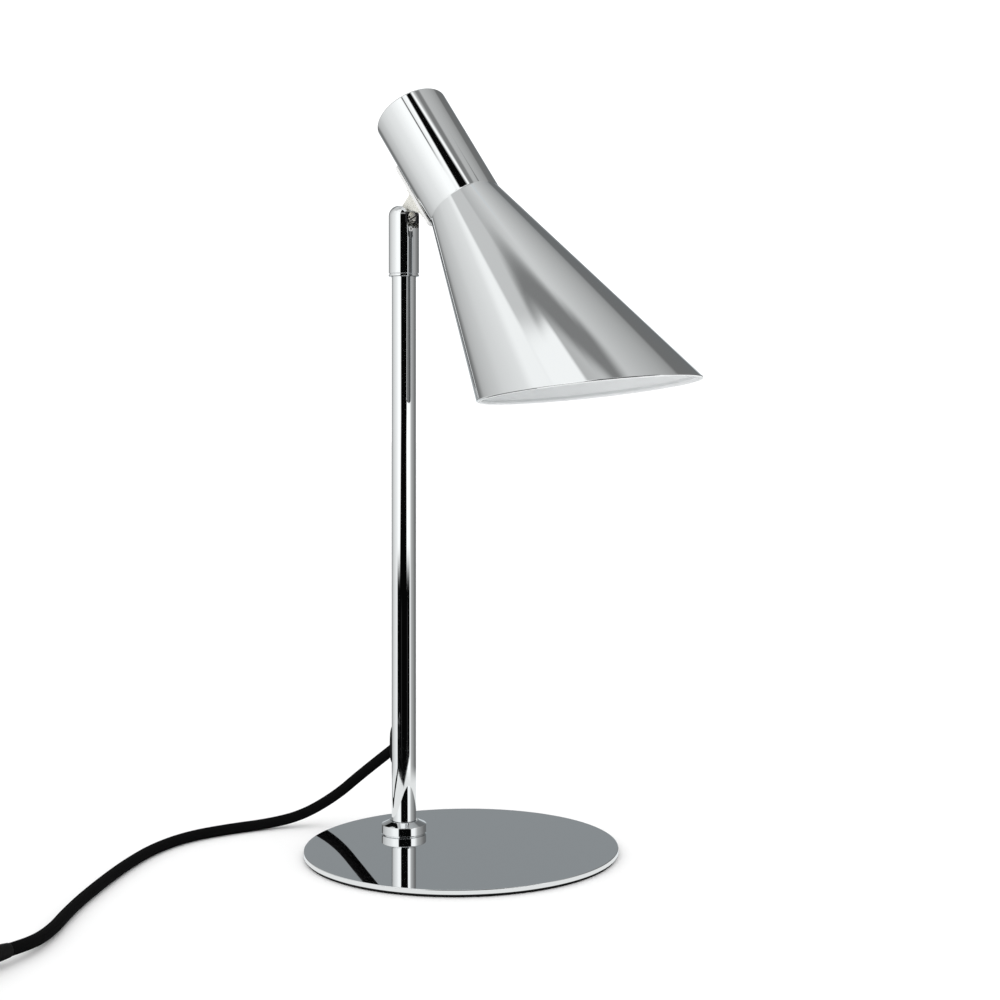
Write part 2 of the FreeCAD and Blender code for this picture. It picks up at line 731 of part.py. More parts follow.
def swivel_cap():
    body = new_body("swivel_cap")
    bore = "(pole_radius + running_clearance)"
    top = f"({CAP_BOTTOM} + cap_length)"
    line = f"({CAP_BOTTOM} + cap_line_height)"
    turned(body, "sleeve", [
        (bore, CAP_BOTTOM),
        ("cap_radius - cap_edge", CAP_BOTTOM),
        ("cap_radius", f"{CAP_BOTTOM} + cap_edge"),
        ("cap_radius", line),
        ("cap_radius - cap_line_depth", line),
        ("cap_radius - cap_line_depth", f"{line} + cap_line_width"),
        ("cap_radius", f"{line} + cap_line_width"),
        ("cap_radius", f"{top} - cap_shoulder", "cap_shoulder", 1),
        ("cap_radius - cap_shoulder", top),
        ("0", top),
        ("0", f"{SLOT_FLOOR} - swivel_head_height - spring_washer_thickness - 2 * face_clearance"),
        ("0", PARTITION),
        (bore, PARTITION),
    ])
    turned(body, "screw_seat", [
        ("0", f"{PARTITION} - face_clearance"),
        ("swivel_screw_radius + running_clearance", f"{PARTITION} - face_clearance"),
        ("swivel_screw_radius + running_clearance",
         f"{SLOT_FLOOR} - swivel_head_height - spring_washer_thickness - 2 * face_clearance"),
        ("swivel_head_radius + running_clearance",
         f"{SLOT_FLOOR} - swivel_head_height - spring_washer_thickness - 2 * face_clearance"),
        ("swivel_head_radius + running_clearance", f"{SLOT_FLOOR} + face_clearance"),
        ("0", f"{SLOT_FLOOR} + face_clearance"),
    ], cut=True)
    turned(body, "stop_groove", [
        (f"{STOP_CIRCLE} - stop_groove_half_width", f"{PARTITION} - face_clearance"),
        (f"{STOP_CIRCLE} + stop_groove_half_width", f"{PARTITION} - face_clearance"),
        (f"{STOP_CIRCLE} + stop_groove_half_width", f"{PARTITION} + stop_groove_depth"),
        (f"{STOP_CIRCLE} - stop_groove_half_width", f"{PARTITION} + stop_groove_depth"),
    ], cut=True, sweep=f"2 * (swivel_limit + stop_slack + degrees_per_radian * stop_pin_radius / {STOP_CIRCLE})")
    slot = new_sketch(body, "YZ_Plane", "slot_outline", shift="0 - slot_back")
    outline(slot, [
        ("slot_corner - slot_width / 2", SLOT_FLOOR),
        ("slot_width / 2 - slot_corner", SLOT_FLOOR, "slot_corner", 1),
        ("slot_width / 2", f"{SLOT_FLOOR} + slot_corner"),
        ("slot_width / 2", f"{top} + cap_edge"),
        ("0 - slot_width / 2", f"{top} + cap_edge"),
        ("0 - slot_width / 2", f"{SLOT_FLOOR} + slot_corner", "slot_corner", 1),
    ])
    pocketed(body, slot, "slot", "slot_back + cap_radius + cap_edge", backwards=True)
    turned(body, "hinge_hole", [
        ("0", "hinge_blind_wall - cap_radius"),
        ("hinge_screw_radius + thread_clearance", "hinge_blind_wall - cap_radius"),
        ("hinge_screw_radius + thread_clearance", "cap_radius - hinge_head_sink - hinge_head_height"),
        ("hinge_head_radius + thread_clearance", "cap_radius - hinge_head_sink"),
        ("hinge_head_radius + thread_clearance", "cap_radius + cap_edge"),
        ("0", "cap_radius + cap_edge"),
    ], plane="XY_Plane", cut=True)
    body.getObject("hinge_hole_outline").setExpression("AttachmentOffset.Base.z", bound(HINGE))
    keys = new_sketch(body, "YZ_Plane", "key_outline", shift=NUT_NEAR)
    rectangle(keys, "0 - slot_width / 2 - friction_nut_key", "slot_width / 2 + friction_nut_key",
              f"{FRICTION} - friction_nut_height / 2", f"{FRICTION} + friction_nut_height / 2")
    pocketed(body, keys, "key_grooves", "cap_radius", backwards=True)
    on_pole(body)
    return body


def hinge_screw():
    """A countersunk screw along Y, threaded into the near cheek, that the tongue turns on."""
    body = new_body("hinge_screw")
    turned(body, "screw", [
        ("0", "hinge_blind_wall - cap_radius"),
        ("hinge_screw_radius", "hinge_blind_wall - cap_radius"),
        ("hinge_screw_radius", "cap_radius - hinge_head_sink - hinge_head_height"),
        ("hinge_head_radius", "cap_radius - hinge_head_sink"),
        ("0", "cap_radius - hinge_head_sink"),
    ], plane="XY_Plane")
    driver = new_sketch(body, "XZ_Plane", "driver_outline", shift="hinge_head_sink - cap_radius")
    rectangle(driver, "0 - cap_radius", "cap_radius", "0 - driver_slot_width / 2", "driver_slot_width / 2")
    pocketed(body, driver, "driver_slot", "driver_slot_depth", backwards=True)
    place(body, across="0 - pole_offset", height=f"{DISC_TOP} + {HINGE}")
    return body


def friction_nut():
    """A flat nut that slides into the grooves of the two cheeks from the mouth of the slot."""
    body = new_body("friction_nut")
    block = new_sketch(body, "YZ_Plane", "block_outline", shift=NUT_NEAR)
    half = "(slot_width / 2 + friction_nut_key - face_clearance)"
    tall = "(friction_nut_height / 2 - face_clearance)"
    rectangle(block, f"0 - {half}", half, f"0 - {tall}", tall)
    circle(block, "friction_screw_radius + thread_clearance")
    padded(body, block, "block", "friction_nut_thickness")
    place(body, across="0 - pole_offset", height=f"{DISC_TOP} + {FRICTION}")
    return body


def friction_screw():
    """The slotted screw in the mouth of the slot. Its tip presses on the knuckle and holds the tilt."""
    body = new_body("friction_screw")
    tip = "(knuckle_radius + friction_tip_gap)"
    far = f"({HEAD_NEAR} + friction_head_thickness)"
    turned(body, "screw", [
        ("0", tip),
        ("friction_screw_radius", tip),
        ("friction_screw_radius", HEAD_NEAR),
        ("friction_head_radius", HEAD_NEAR),
        ("friction_head_radius", f"{far} - friction_head_round", "friction_head_round", 1),
        ("friction_head_radius - friction_head_round", far),
        ("0", far),
    ])
    driver = new_sketch(body, "XY_Plane", "driver_outline", shift=far)
    rectangle(driver, "0 - friction_head_radius", "friction_head_radius",
              "0 - driver_slot_width / 2", "driver_slot_width / 2")
    pocketed(body, driver, "driver_slot", "driver_slot_depth")
    turn_to_x = FreeCAD.Rotation(FreeCAD.Vector(0, 1, 0), 90)
    turn_slot = FreeCAD.Rotation(FreeCAD.Vector(1, 0, 0), 90 + size("friction_slot_turn"))
    body.Placement = FreeCAD.Placement(FreeCAD.Vector(), turn_slot * turn_to_x)
    place(body, across="0 - pole_offset", height=f"{DISC_TOP} + {FRICTION}")
    return body


# Tongue: a knuckle in the slot, a web that passes over the friction screw and a flange on the back plate

def tongue():
    body = new_body("tongue")
    web = new_sketch(body, "XZ_Plane", "web_outline")
    outline(web, [
        (PLATE_REAR, "foot_rise"),
        ("0 - heel_back", "heel_rise"),
        ("knuckle_radius * cos(heel_tangent_angle)", "knuckle_radius * sin(heel_tangent_angle)",
         "knuckle_radius", 1),
        ("0", "0 - knuckle_radius", "knuckle_radius", 1),
        ("knuckle_radius * cos(toe_angle)", "0 - knuckle_radius * sin(toe_angle)"),
        ("notch_reach", "notch_rise"),
        (PLATE_REAR, "0 - foot_drop"),
    ])
    padded(body, web, "web", "tongue_thickness", both_ways=True)
    flange = new_sketch(body, "YZ_Plane", "flange_outline", shift=PLATE_REAR)
    rectangle(flange, "0 - tongue_flange_width / 2", "tongue_flange_width / 2", "0 - foot_drop", "foot_rise")
    padded(body, flange, "flange", "tongue_flange_thickness", backwards=True)
    holes = new_sketch(body, "YZ_Plane", "rivet_outline", shift=PLATE_REAR)
    for side in ("rivet_side", "0 - rivet_side"):
        circle(holes, "rivet_radius", across=side, up="foot_rise - rivet_inset")
        circle(holes, "rivet_radius", across=side, up="rivet_inset - foot_drop")
    pocketed(body, holes, "rivet_holes", "2 * tongue_flange_thickness", both_ways=True)
    bore = new_sketch(body, "XZ_Plane", "bore_outline")
    circle(bore, "hinge_screw_radius + running_clearance")
    pocketed(body, bore, "bore", "2 * tongue_thickness", both_ways=True)
    on_hinge(body)
    return body


def tongue_rivets():
    rivets = []
    for number, (side, level) in enumerate([
        ("rivet_side", "foot_rise - rivet_inset"),
        ("rivet_side", "rivet_inset - foot_drop"),
        ("0 - rivet_side", "foot_rise - rivet_inset"),
        ("0 - rivet_side", "rivet_inset - foot_drop"),
    ], 1):
        body = new_body(f"tongue_rivet_{number}")
        ring = new_sketch(body, "YZ_Plane", "rivet_outline", shift=f"{PLATE_REAR} - tongue_flange_thickness")
        circle(ring, "rivet_radius", across=side, up=level)
        padded(body, ring, "rivet", "tongue_flange_thickness + plate_thickness")
        on_hinge(body)
        rivets.append(body)
    return grouped("tongue_rivets", rivets)


# Back plate and the ribbed spacers that seat it on the round neck

def back_plate():
    body = new_body("back_plate")
    strip = new_sketch(body, "YZ_Plane", "strip_outline", shift=PLATE_REAR)
    rounded_rectangle(strip, "0 - plate_width / 2", "plate_width / 2", "0 - plate_drop", "plate_rise",
                      "plate_corner")
    for level in ("0 - plate_screw_low", "plate_screw_high"):
        circle(strip, "plate_screw_radius + thread_clearance", up=level)
    for side in ("rivet_side", "0 - rivet_side"):
        circle(strip, "rivet_radius", across=side, up="foot_rise - rivet_inset")
        circle(strip, "rivet_radius", across=side, up="rivet_inset - foot_drop")
    pad = padded(body, strip, "strip", "plate_thickness")
    document.recompute()
    rear = size(PLATE_REAR)
    rim = [
        f"Edge{number}"
        for number, edge in enumerate(pad.Shape.Edges, 1)
        if abs(edge.BoundBox.XMax - rear) < SAME
        and abs(edge.BoundBox.XMin - rear) < SAME
        and not isinstance(edge.Curve, Part.Circle)
    ]
    bevel = body.newObject("PartDesign::Chamfer", "strip_edge")
    bevel.Base = (pad, rim[:1])
    bind(bevel, Size="plate_edge")
    body.Tip = bevel
    on_hinge(body)
    return body


def spacer(name, low, length, screw):
    """A block between the flat plate and the round neck, with fine ribs along both sides."""
    body = new_body(name)
    block = new_sketch(body, "XY_Plane", "block_outline", shift=low)
    touch = f"({NECK_AXIS} - sqrt(neck_radius ^ 2 - spacer_width ^ 2 / 4))"
    outline(block, [
        (PLATE_FRONT, "0 - spacer_width / 2"),
        (touch, "0 - spacer_width / 2", "neck_radius", -1),
        (touch, "spacer_width / 2"),
        (PLATE_FRONT, "spacer_width / 2"),
    ])
    padded(body, block, "block", length)
    rib = new_sketch(body, "YZ_Plane", "rib_outline", shift=PLATE_FRONT)
    for side in ("1", "0 - 1"):
        inner = f"({side} * (spacer_width / 2 - rib_depth))"
        outer = f"({side} * (spacer_width / 2 + rib_depth))"
        left, right = (inner, outer) if side == "1" else (outer, inner)
        rectangle(rib, left, right, f"{low} + rib_pitch", f"{low} + rib_pitch + rib_width")
    groove = pocketed(body, rib, "rib_groove", "2 * neck_radius", both_ways=True)
    document.recompute()
    count = int((size(length) - 2 * size("rib_width")) / size("rib_pitch"))
    axis = [feature for feature in body.Origin.OriginFeatures if feature.Role == "Z_Axis"][0]
    repeated(body, groove, "rib_grooves", (axis, [""]), (count - 1) * size("rib_pitch"), count)
    hole = new_sketch(body, "YZ_Plane", "hole_outline", shift=PLATE_FRONT)
    circle(hole, "plate_screw_radius + thread_clearance", up=screw)
    pocketed(body, hole, "hole", "2 * neck_radius", both_ways=True)
    on_hinge(body)
    return body


def plate_spacers():
    lower = spacer("lower_spacer", "0 - spacer_low", "spacer_low_length", "0 - plate_screw_low")
    upper = spacer("upper_spacer", "spacer_high", "spacer_high_length", "plate_screw_high")
    return grouped("plate_spacers", [lower, upper])


# Shade: neck and cone spun in one sheet, cut off level below

def shade():
    body = new_body("shade")
    wall = "(shade_wall / cos(cone_angle))"
    offset = "(shade_wall * tan(cone_angle / 2))"
    reach = "(rim_distance * 2)"
    inner = "(neck_radius - shade_wall)"
    turned(body, "sheet", [
        ("neck_radius", "0"),
        ("neck_radius", "neck_length - neck_round", "neck_round", 1),
        ("neck_radius - neck_round", "neck_length"),
        ("neck_radius - neck_lip", "neck_length"),
        ("neck_radius - neck_lip", "neck_length - shade_wall"),
        (inner, "neck_length - shade_wall"),
        (inner, f"0 - {offset}"),
        (f"{inner} + ({reach} - {offset}) * tan(cone_angle)", f"0 - {reach}"),
        (f"neck_radius + {reach} * tan(cone_angle)", f"0 - {reach}"),
    ])
    cut = new_sketch(body, "XZ_Plane", "rim_outline")
    far = "(3 * rim_distance)"
    outline(cut, [
        (f"0 - {far}", f"{far} * tan(rim_slope) - rim_distance"),
        (f"0 - {far}", f"0 - {far} - rim_distance - {far} * tan(rim_slope)"),
        (far, f"0 - {far} - rim_distance - {far} * tan(rim_slope)"),
        (far, f"0 - {far} * tan(rim_slope) - rim_distance"),
    ])
    pocketed(body, cut, "rim", f"2 * {far}", both_ways=True)
    holes = new_sketch(body, "YZ_Plane", "hole_outline")
    for level in ("hinge_above_crease - plate_screw_low", "hinge_above_crease + plate_screw_high"):
        circle(holes, "plate_screw_radius + thread_clearance", up=level)
    pocketed(body, holes, "holes", "neck_radius + shade_wall")
    on_neck(body)
    return body


# Screws through plate, spacer, neck and bracket, with nuts inside

def plate_screws():
    screws = []
    inside = f"({NECK_AXIS} - {BRACKET_REAR} + bracket_thickness + plate_nut_height + plate_screw_end)"
    for number, level in enumerate(("0 - plate_screw_low", "plate_screw_high"), 1):
        body = new_body(f"plate_screw_{number}")
        turned(body, "screw", [
            ("0", f"{PLATE_REAR} - plate_head_height"),
            ("plate_head_radius / 2", f"{PLATE_REAR} - plate_head_height"),
            ("plate_head_radius", f"{PLATE_REAR} - plate_head_height / 2"),
            ("plate_head_radius", PLATE_REAR),
            ("plate_screw_radius", PLATE_REAR),
            ("plate_screw_radius", inside),
            ("0", inside),
        ])
        driver = new_sketch(body, "XY_Plane", "driver_outline", shift=f"{PLATE_REAR} - plate_head_height")
        rectangle(driver, "0 - plate_head_radius", "plate_head_radius",
                  "0 - driver_slot_width / 2", "driver_slot_width / 2")
        pocketed(body, driver, "driver_slot", "driver_slot_depth", backwards=True)
        along_neck(body, level)
        screws.append(body)
    return grouped("plate_screws", screws)


def along_neck(body, level):
    """Point a body's Z into the neck, square to its axis, at a level measured from the hinge."""
    place(body, across=f"0 - pole_offset - ({level}) * sin(tilt)",
          height=f"{DISC_TOP} + {HINGE} + ({level}) * cos(tilt)", turn="90 - tilt")


def plate_nuts():
    nuts = []
    near = f"({NECK_AXIS} - {BRACKET_REAR} + bracket_thickness)"
    for number, level in enumerate(("0 - plate_screw_low", "plate_screw_high"), 1):
        body = new_body(f"plate_nut_{number}")
        flats = new_sketch(body, "XY_Plane", "nut_outline", shift=near)
        hexagon(flats, "plate_nut_radius")
        circle(flats, "plate_screw_radius + thread_clearance")
        padded(body, flats, "nut", "plate_nut_height")
        along_neck(body, level)
        nuts.append(body)
    return grouped("plate_nuts", nuts)


# Bracket inside the neck, and the lamp holder that hangs from it

def holder_bracket():
    body = new_body("holder_bracket")
    rear = f"(0 - {BRACKET_REAR})"
    strap = new_sketch(body, "XZ_Plane", "strap_outline")
    bend = "(2 * bracket_thickness)"
    outline(strap, [
        (rear, BRACKET_FOOT),
        (f"{rear} + bracket_thickness", BRACKET_FOOT),
        (f"{rear} + bracket_thickness", f"{BRACKET_TOP} - {bend}", "bracket_thickness", -1),
        (f"{rear} + {bend}", HOLDER_TOP),
        ("bracket_reach", HOLDER_TOP),
        ("bracket_reach", BRACKET_TOP),
        (f"{rear} + {bend}", BRACKET_TOP, bend, 1),
        (rear, f"{BRACKET_TOP} - {bend}"),
    ])
    padded(body, strap, "strap", "bracket_width", both_ways=True)
    hole = new_sketch(body, "XY_Plane", "hole_outline", shift=BRACKET_TOP)
    circle(hole, "nipple_radius + thread_clearance")
    pocketed(body, hole, "nipple_hole", "2 * bracket_thickness")
    screw_holes = new_sketch(body, "YZ_Plane", "screw_hole_outline", shift=rear)
    for level in ("hinge_above_crease - plate_screw_low", "hinge_above_crease + plate_screw_high"):
        circle(screw_holes, "plate_screw_radius + thread_clearance", up=level)
    pocketed(body, screw_holes, "screw_holes", f"2 * {bend}", both_ways=True)
    on_neck(body)
    return body


def holder_nipple():
    body = new_body("holder_nipple")
    ring = new_sketch(body, "XY_Plane", "ring_outline", shift=f"{HOLDER_TOP} - nipple_below")
    circle(ring, "nipple_radius")
    circle(ring, "nipple_bore_radius")
    padded(body, ring, "ring", "nipple_below + bracket_thickness + nipple_above")
    on_neck(body)
    return body


def nipple_nut():
    body = new_body("nipple_nut")
    flats = new_sketch(body, "XY_Plane", "nut_outline", shift=BRACKET_TOP)
    hexagon(flats, "nipple_nut_radius")
    circle(flats, "nipple_radius + thread_clearance")
    padded(body, flats, "nut", "nipple_nut_height")
    on_neck(body)
    return body


def lamp_holder():
    body = new_body("lamp_holder")
    thread = "nipple_radius + thread_clearance"
    shoulder = f"({HOLDER_TOP} - holder_neck_length)"
    turned(body, "holder", [
        (thread, HOLDER_TOP),
        (thread, BORE_TOP),
        ("holder_bore_radius", BORE_TOP),
        ("holder_bore_radius", HOLDER_MOUTH),
        ("holder_radius - holder_edge", HOLDER_MOUTH),
        ("holder_radius", f"{HOLDER_MOUTH} + holder_edge"),
        ("holder_radius", f"{shoulder} - holder_shoulder"),
        ("holder_neck_radius", shoulder),
        ("holder_neck_radius", HOLDER_TOP),
    ])
    on_neck(body)
    return body


def holder_sleeve():
    """The threaded metal sleeve that the bulb's cap screws into."""
    body = new_body("holder_sleeve")
    ring = new_sketch(body, "XY_Plane", "ring_outline", shift=f"{HOLDER_MOUTH} + sleeve_setback")
    circle(ring, "holder_bore_radius")
    circle(ring, "holder_bore_radius - sleeve_wall")
    padded(body, ring, "ring", "sleeve_length")
    on_neck(body)
    return body


def holder_contact():
    """The springy centre contact: a strip bent down from the end of the bore."""
    body = new_body("holder_contact")
    top = f"({BORE_TOP} - face_clearance)"
    low = f"({BORE_TOP} - contact_stand)"
    strip = new_sketch(body, "XZ_Plane", "strip_outline")
    near, far = "(contact_length / 4)", "(contact_length / 2)"
    outline(strip, [
        (f"0 - {far}", top),
        (f"0 - {far}", f"{top} - contact_thickness"),
        (f"0 - {near}", low),
        (near, low),
        (far, f"{top} - contact_thickness"),
        (far, top),
        (near, f"{low} + contact_thickness"),
        (f"0 - {near}", f"{low} + contact_thickness"),
    ])
    padded(body, strip, "strip", "contact_width", both_ways=True)
    on_neck(body)
    return body


# Bulb

def bulb_cap():
    body = new_body("bulb_cap")
    turned(body, "cap", [
        ("0", CAP_END),
        ("bulb_cap_radius", CAP_END),
        ("bulb_cap_radius", f"{CAP_END} + bulb_cap_length - bulb_tip_length"),
        ("bulb_tip_radius", f"{CAP_END} + bulb_cap_length"),
        ("bulb_tip_radius", BULB_TIP),
        ("0", BULB_TIP),
    ])
    on_neck(body)
    return body


def bulb_glass():
    """A thin glass globe with a drawn-in stem, open where the cap closes it."""
    body = new_body("bulb_glass")
    centre = f"({CAP_END} - bulb_stem_length - bulb_radius)"

    def surface(depth):
        ball = f"(bulb_radius - {depth})"
        stem = f"(bulb_stem_radius - {depth})"
        fillet = f"(bulb_stem_round + {depth})"
        apart = "(bulb_radius + bulb_stem_round)"
        aside = "(bulb_stem_radius + bulb_stem_round)"
        level = f"({centre} + sqrt({apart} ^ 2 - {aside} ^ 2))"
        meet_across = f"({ball} * {aside} / {apart})"
        meet_up = f"({centre} + {ball} * ({level} - {centre}) / {apart})"
        return ball, stem, fillet, level, meet_across, meet_up

    ball, stem, fillet, level, across, up = surface("0")
    in_ball, in_stem, in_fillet, in_level, in_across, in_up = surface("bulb_wall")
    turned(body, "glass", [
        ("0", f"{centre} - {ball}", ball, 1),
        (ball, centre, ball, 1),
        (across, up, fillet, -1),
        (stem, level),
        (stem, CAP_END),
        (in_stem, CAP_END),
        (in_stem, in_level, in_fillet, 1),
        (in_across, in_up, in_ball, -1),
        (in_ball, centre, in_ball, -1),
        ("0", f"{centre} - {in_ball}"),
    ])
    on_neck(body)
    return body


# Rocker switch on the lead. Its own origin is under the middle of its inlet face, with the lead along -Y.

def switch_shell(name, low, high):
    """One half of the housing, as a block with round corners in plan."""
    body = new_body(name)
    plan = new_sketch(body, "XY_Plane", "plan_outline", shift=low)
    rounded_rectangle(plan, "0 - switch_width / 2", "switch_width / 2", "0 - switch_length", "0",
                      "switch_corner")
    padded(body, plan, "block", f"{high} - ({low})")
    return body


def at_switch(body):
    """Put a body at the inlet of the switch, which is the end of the lead's route."""
    inlet = CORD_ROUTE[-1]
    body.Placement.Base = FreeCAD.Vector(inlet[0], inlet[1], 0)


def bevelled(body, level):
    """Chamfer the outer edge of a shell at a level."""
    solid = body.Tip
    document.recompute()
    rim = [
        f"Edge{number}"
        for number, edge in enumerate(solid.Shape.Edges, 1)
        if abs(edge.BoundBox.ZMin - size(level)) < SAME and abs(edge.BoundBox.ZMax - size(level)) < SAME
    ]
    bevel = body.newObject("PartDesign::Chamfer", "housing_edge")
    bevel.Base = (solid, rim)
    bind(bevel, Size="switch_edge")
    body.Tip = bevel


def switch_base():
    body = switch_shell("switch_base", "0", "switch_split")
    screws = new_sketch(body, "XY_Plane", "screw_outline", shift="0")
    for level in ("0 - switch_screw_inset", "switch_screw_inset - switch_length"):
        circle(screws, "switch_screw_radius + thread_clearance", across="switch_width / 4", up=level)
    pocketed(body, screws, "screw_holes", "switch_split", backwards=True)
    heads = new_sketch(body, "XY_Plane", "head_outline", shift="0")
    for level in ("0 - switch_screw_inset", "switch_screw_inset - switch_length"):
        circle(heads, "switch_screw_head_radius + thread_clearance", across="switch_width / 4", up=level)
    pocketed(body, heads, "head_seats", "switch_screw_head_depth + floor_gap", backwards=True)
    at_switch(body)
    return body


def switch_cover():
    body = switch_shell("switch_cover", "switch_split", "switch_height")
    bevelled(body, "switch_height")
    middle = "(0 - switch_length / 2)"
    window = new_sketch(body, "XY_Plane", "window_outline", shift="switch_height")
    rectangle(window, "0 - window_width / 2", "window_width / 2",
              f"{middle} - window_length / 2", f"{middle} + window_length / 2")
    pocketed(body, window, "window", "window_depth")
    pivot = new_sketch(body, "YZ_Plane", "pivot_outline")
    circle(pivot, "rocker_pivot_radius", across=middle, up=ROCKER_AXIS)
    pocketed(body, pivot, "pivot_seats", "window_width + 2 * rocker_pivot_seat", both_ways=True)
    screws = new_sketch(body, "XY_Plane", "screw_outline", shift="switch_split")
    for level in ("0 - switch_screw_inset", "switch_screw_inset - switch_length"):
        circle(screws, "switch_screw_radius + thread_clearance", across="switch_width / 4", up=level)
    pocketed(body, screws, "screw_holes", "switch_screw_length - switch_split + switch_screw_head_depth",
             backwards=True)
    at_switch(body)
    return body


def switch_screws():
    screws = []
    for number, level in enumerate(("0 - switch_screw_inset", "switch_screw_inset - switch_length"), 1):
        body = new_body(f"switch_screw_{number}")
        turned(body, "screw", [
            ("0", "floor_gap"),
            ("switch_screw_head_radius", "floor_gap"),
            ("switch_screw_head_radius", "floor_gap + switch_screw_head_depth"),
            ("switch_screw_radius", "floor_gap + switch_screw_head_depth"),
            ("switch_screw_radius", "switch_screw_length"),
            ("0", "switch_screw_length"),
        ])
        inlet = CORD_ROUTE[-1]
        body.Placement.Base = FreeCAD.Vector(inlet[0] + size("switch_width / 4"), inlet[1] + size(level), 0)
        screws.append(body)
    return grouped("switch_screws", screws)


def rocker():
    """The rocker: two flats that meet in a shallow V above a round underside, on a pivot along X."""
    body = new_body("rocker")
    half = "(window_length / 2 - 2 * rocker_clearance)"
    crown = "(rocker_pivot_drop + rocker_rise)"
    edge = f"({crown} + {half} * tan(rocker_limit))"
    skirt = "(window_depth - rocker_pivot_drop - 2 * rocker_clearance)"
    side = new_sketch(body, "YZ_Plane", "side_outline")
    outline(side, [
        (f"0 - {half}", f"0 - {skirt} / 4"),
        (f"0 - {half} / 4", f"0 - {skirt}"),
        (f"{half} / 4", f"0 - {skirt}"),
        (half, f"0 - {skirt} / 4"),
        (half, edge),
        ("0", crown),
        (f"0 - {half}", edge),
    ])
    padded(body, side, "block", "window_width - 2 * rocker_clearance", both_ways=True)
    bore = new_sketch(body, "YZ_Plane", "bore_outline")
    circle(bore, "rocker_pivot_radius + running_clearance")
    pocketed(body, bore, "bore", "2 * window_width", both_ways=True)
    inlet = CORD_ROUTE[-1]
    body.Placement.Base = FreeCAD.Vector(inlet[0], inlet[1] - size("switch_length") / 2, size(ROCKER_AXIS))
    return body


def rocker_pivot():
    body = new_body("rocker_pivot")
    ring = new_sketch(body, "YZ_Plane", "pin_outline")
    circle(ring, "rocker_pivot_radius")
    padded(body, ring, "pin", "window_width + 2 * rocker_pivot_seat", both_ways=True)
    inlet = CORD_ROUTE[-1]
    body.Placement.Base = FreeCAD.Vector(inlet[0], inlet[1] - size("switch_length") / 2, size(ROCKER_AXIS))
    return body


# Lead: tubes along paths of straight runs, arcs and biarcs

def tube(name, edges, first_point, first_way):
    """Sweep the lead's section along joined edges, and print how well the volume fits."""
    path = Part.Wire(edges)
    radius = size("cord_radius")
    section = Part.Wire(Part.Circle(first_point, first_way, radius).toShape())
    shape = path.makePipeShell([section], True, False)
    piece = document.addObject("Part::Feature", name)
    piece.Label = name
    piece.Shape = shape
    share = shape.Volume / (math.pi * radius ** 2 * path.Length)
    print(f"{name}: length {path.Length:.1f}, volume over section times length {share:.4f}")
    return piece


def cord_run():
    """The lead from the grommet to the switch, with an arc at each point as large as its runs allow."""
    points = [FreeCAD.Vector(*point) for point in CORD_ROUTE]
    share = 0.45
    edges, last = [], points[0]
    for before, here, after in zip(points, points[1:], points[2:]):
        arrive, leave = (here - before).normalize(), (after - here).normalize()
        half_turn = arrive.getAngle(leave) / 2
        reach = share * min((here - before).Length, (after - here).Length)
        radius = reach / math.tan(half_turn)
        start, end = here - arrive * reach, here + leave * reach
        inward = (leave - arrive).normalize()
        centre = here + inward * (radius / math.cos(half_turn))
        middle = centre - inward * radius
        edges += [Part.LineSegment(last, start).toShape(), Part.Arc(start, middle, end).toShape()]
        last = end
        print(f"cord_run: turn {math.degrees(2 * half_turn):.0f} degrees, radius {radius:.0f}")
    edges.append(Part.LineSegment(last, points[-1]).toShape())
    return tube("cord_run", edges, points[0], points[1] - points[0])


def arc_middle(first, way, last):
    """A point on the arc that leaves one point in a direction and ends at another."""
    chord = last - first
    bend = chord - way * chord.dot(way)
    radius = chord.dot(chord) / (2 * bend.Length)
    centre = first + bend.normalize() * radius
    return centre + ((first + last) * 0.5 - centre).normalize() * radius


def biarc(start, start_way, end, end_way):
    """Two arcs that join two points smoothly along two given directions."""
    chord, ways = end - start, start_way + end_way
    lead = 2 * (start_way.dot(end_way) - 1)
    slope = chord.dot(ways)
    if abs(lead) < SAME:
        reach = chord.dot(chord) / (2 * slope)
    else:
        reach = (slope - math.sqrt(slope ** 2 - lead * chord.dot(chord))) / lead
    joint = (start + end + (start_way - end_way) * reach) * 0.5
    return [
        Part.Arc(start, arc_middle(start, start_way, joint), joint).toShape(),
        Part.Arc(joint, arc_middle(end, end_way * -1, joint), end).toShape(),
    ]


def coil_place(quarters):
    """Where the coil's centre line is after some quarter turns: clockwise seen from above, inward on the
    floor, up a layer in the half turn where the spiral reverses, and outward on top."""
    pitch = 2 * size("cord_radius") + size("coil_gap")
    low = size("cord_radius + floor_gap")
    down, climb = COUNT_DOWN, COUNT_CLIMB
    inner = size("coil_radius") - pitch * down / 4
    if quarters <= down:
        radius, height = size("coil_radius") - pitch * quarters / 4, low
    elif quarters <= down + climb:
        part = (quarters - down) / climb
        radius = inner - pitch / 4 * (1 - abs(2 * part - 1))
        height = low + pitch * (1 - math.cos(math.pi * part)) / 2
    else:
        radius, height = inner + pitch * (quarters - down - climb) / 4, low + pitch
    turn = -math.pi / 2 * quarters
    inlet = CORD_ROUTE[-1]
    centre_x = inlet[0] - size("coil_radius")
    centre_y = inlet[1] - size("switch_length + coil_lead_in + coil_descent")
    return FreeCAD.Vector(centre_x + radius * math.cos(turn), centre_y + radius * math.sin(turn), height)


def coil_way(quarters):
    """The direction of the coil's centre line."""
    step = 1e-4
    return (coil_place(quarters + step) - coil_place(quarters - step)).normalize()


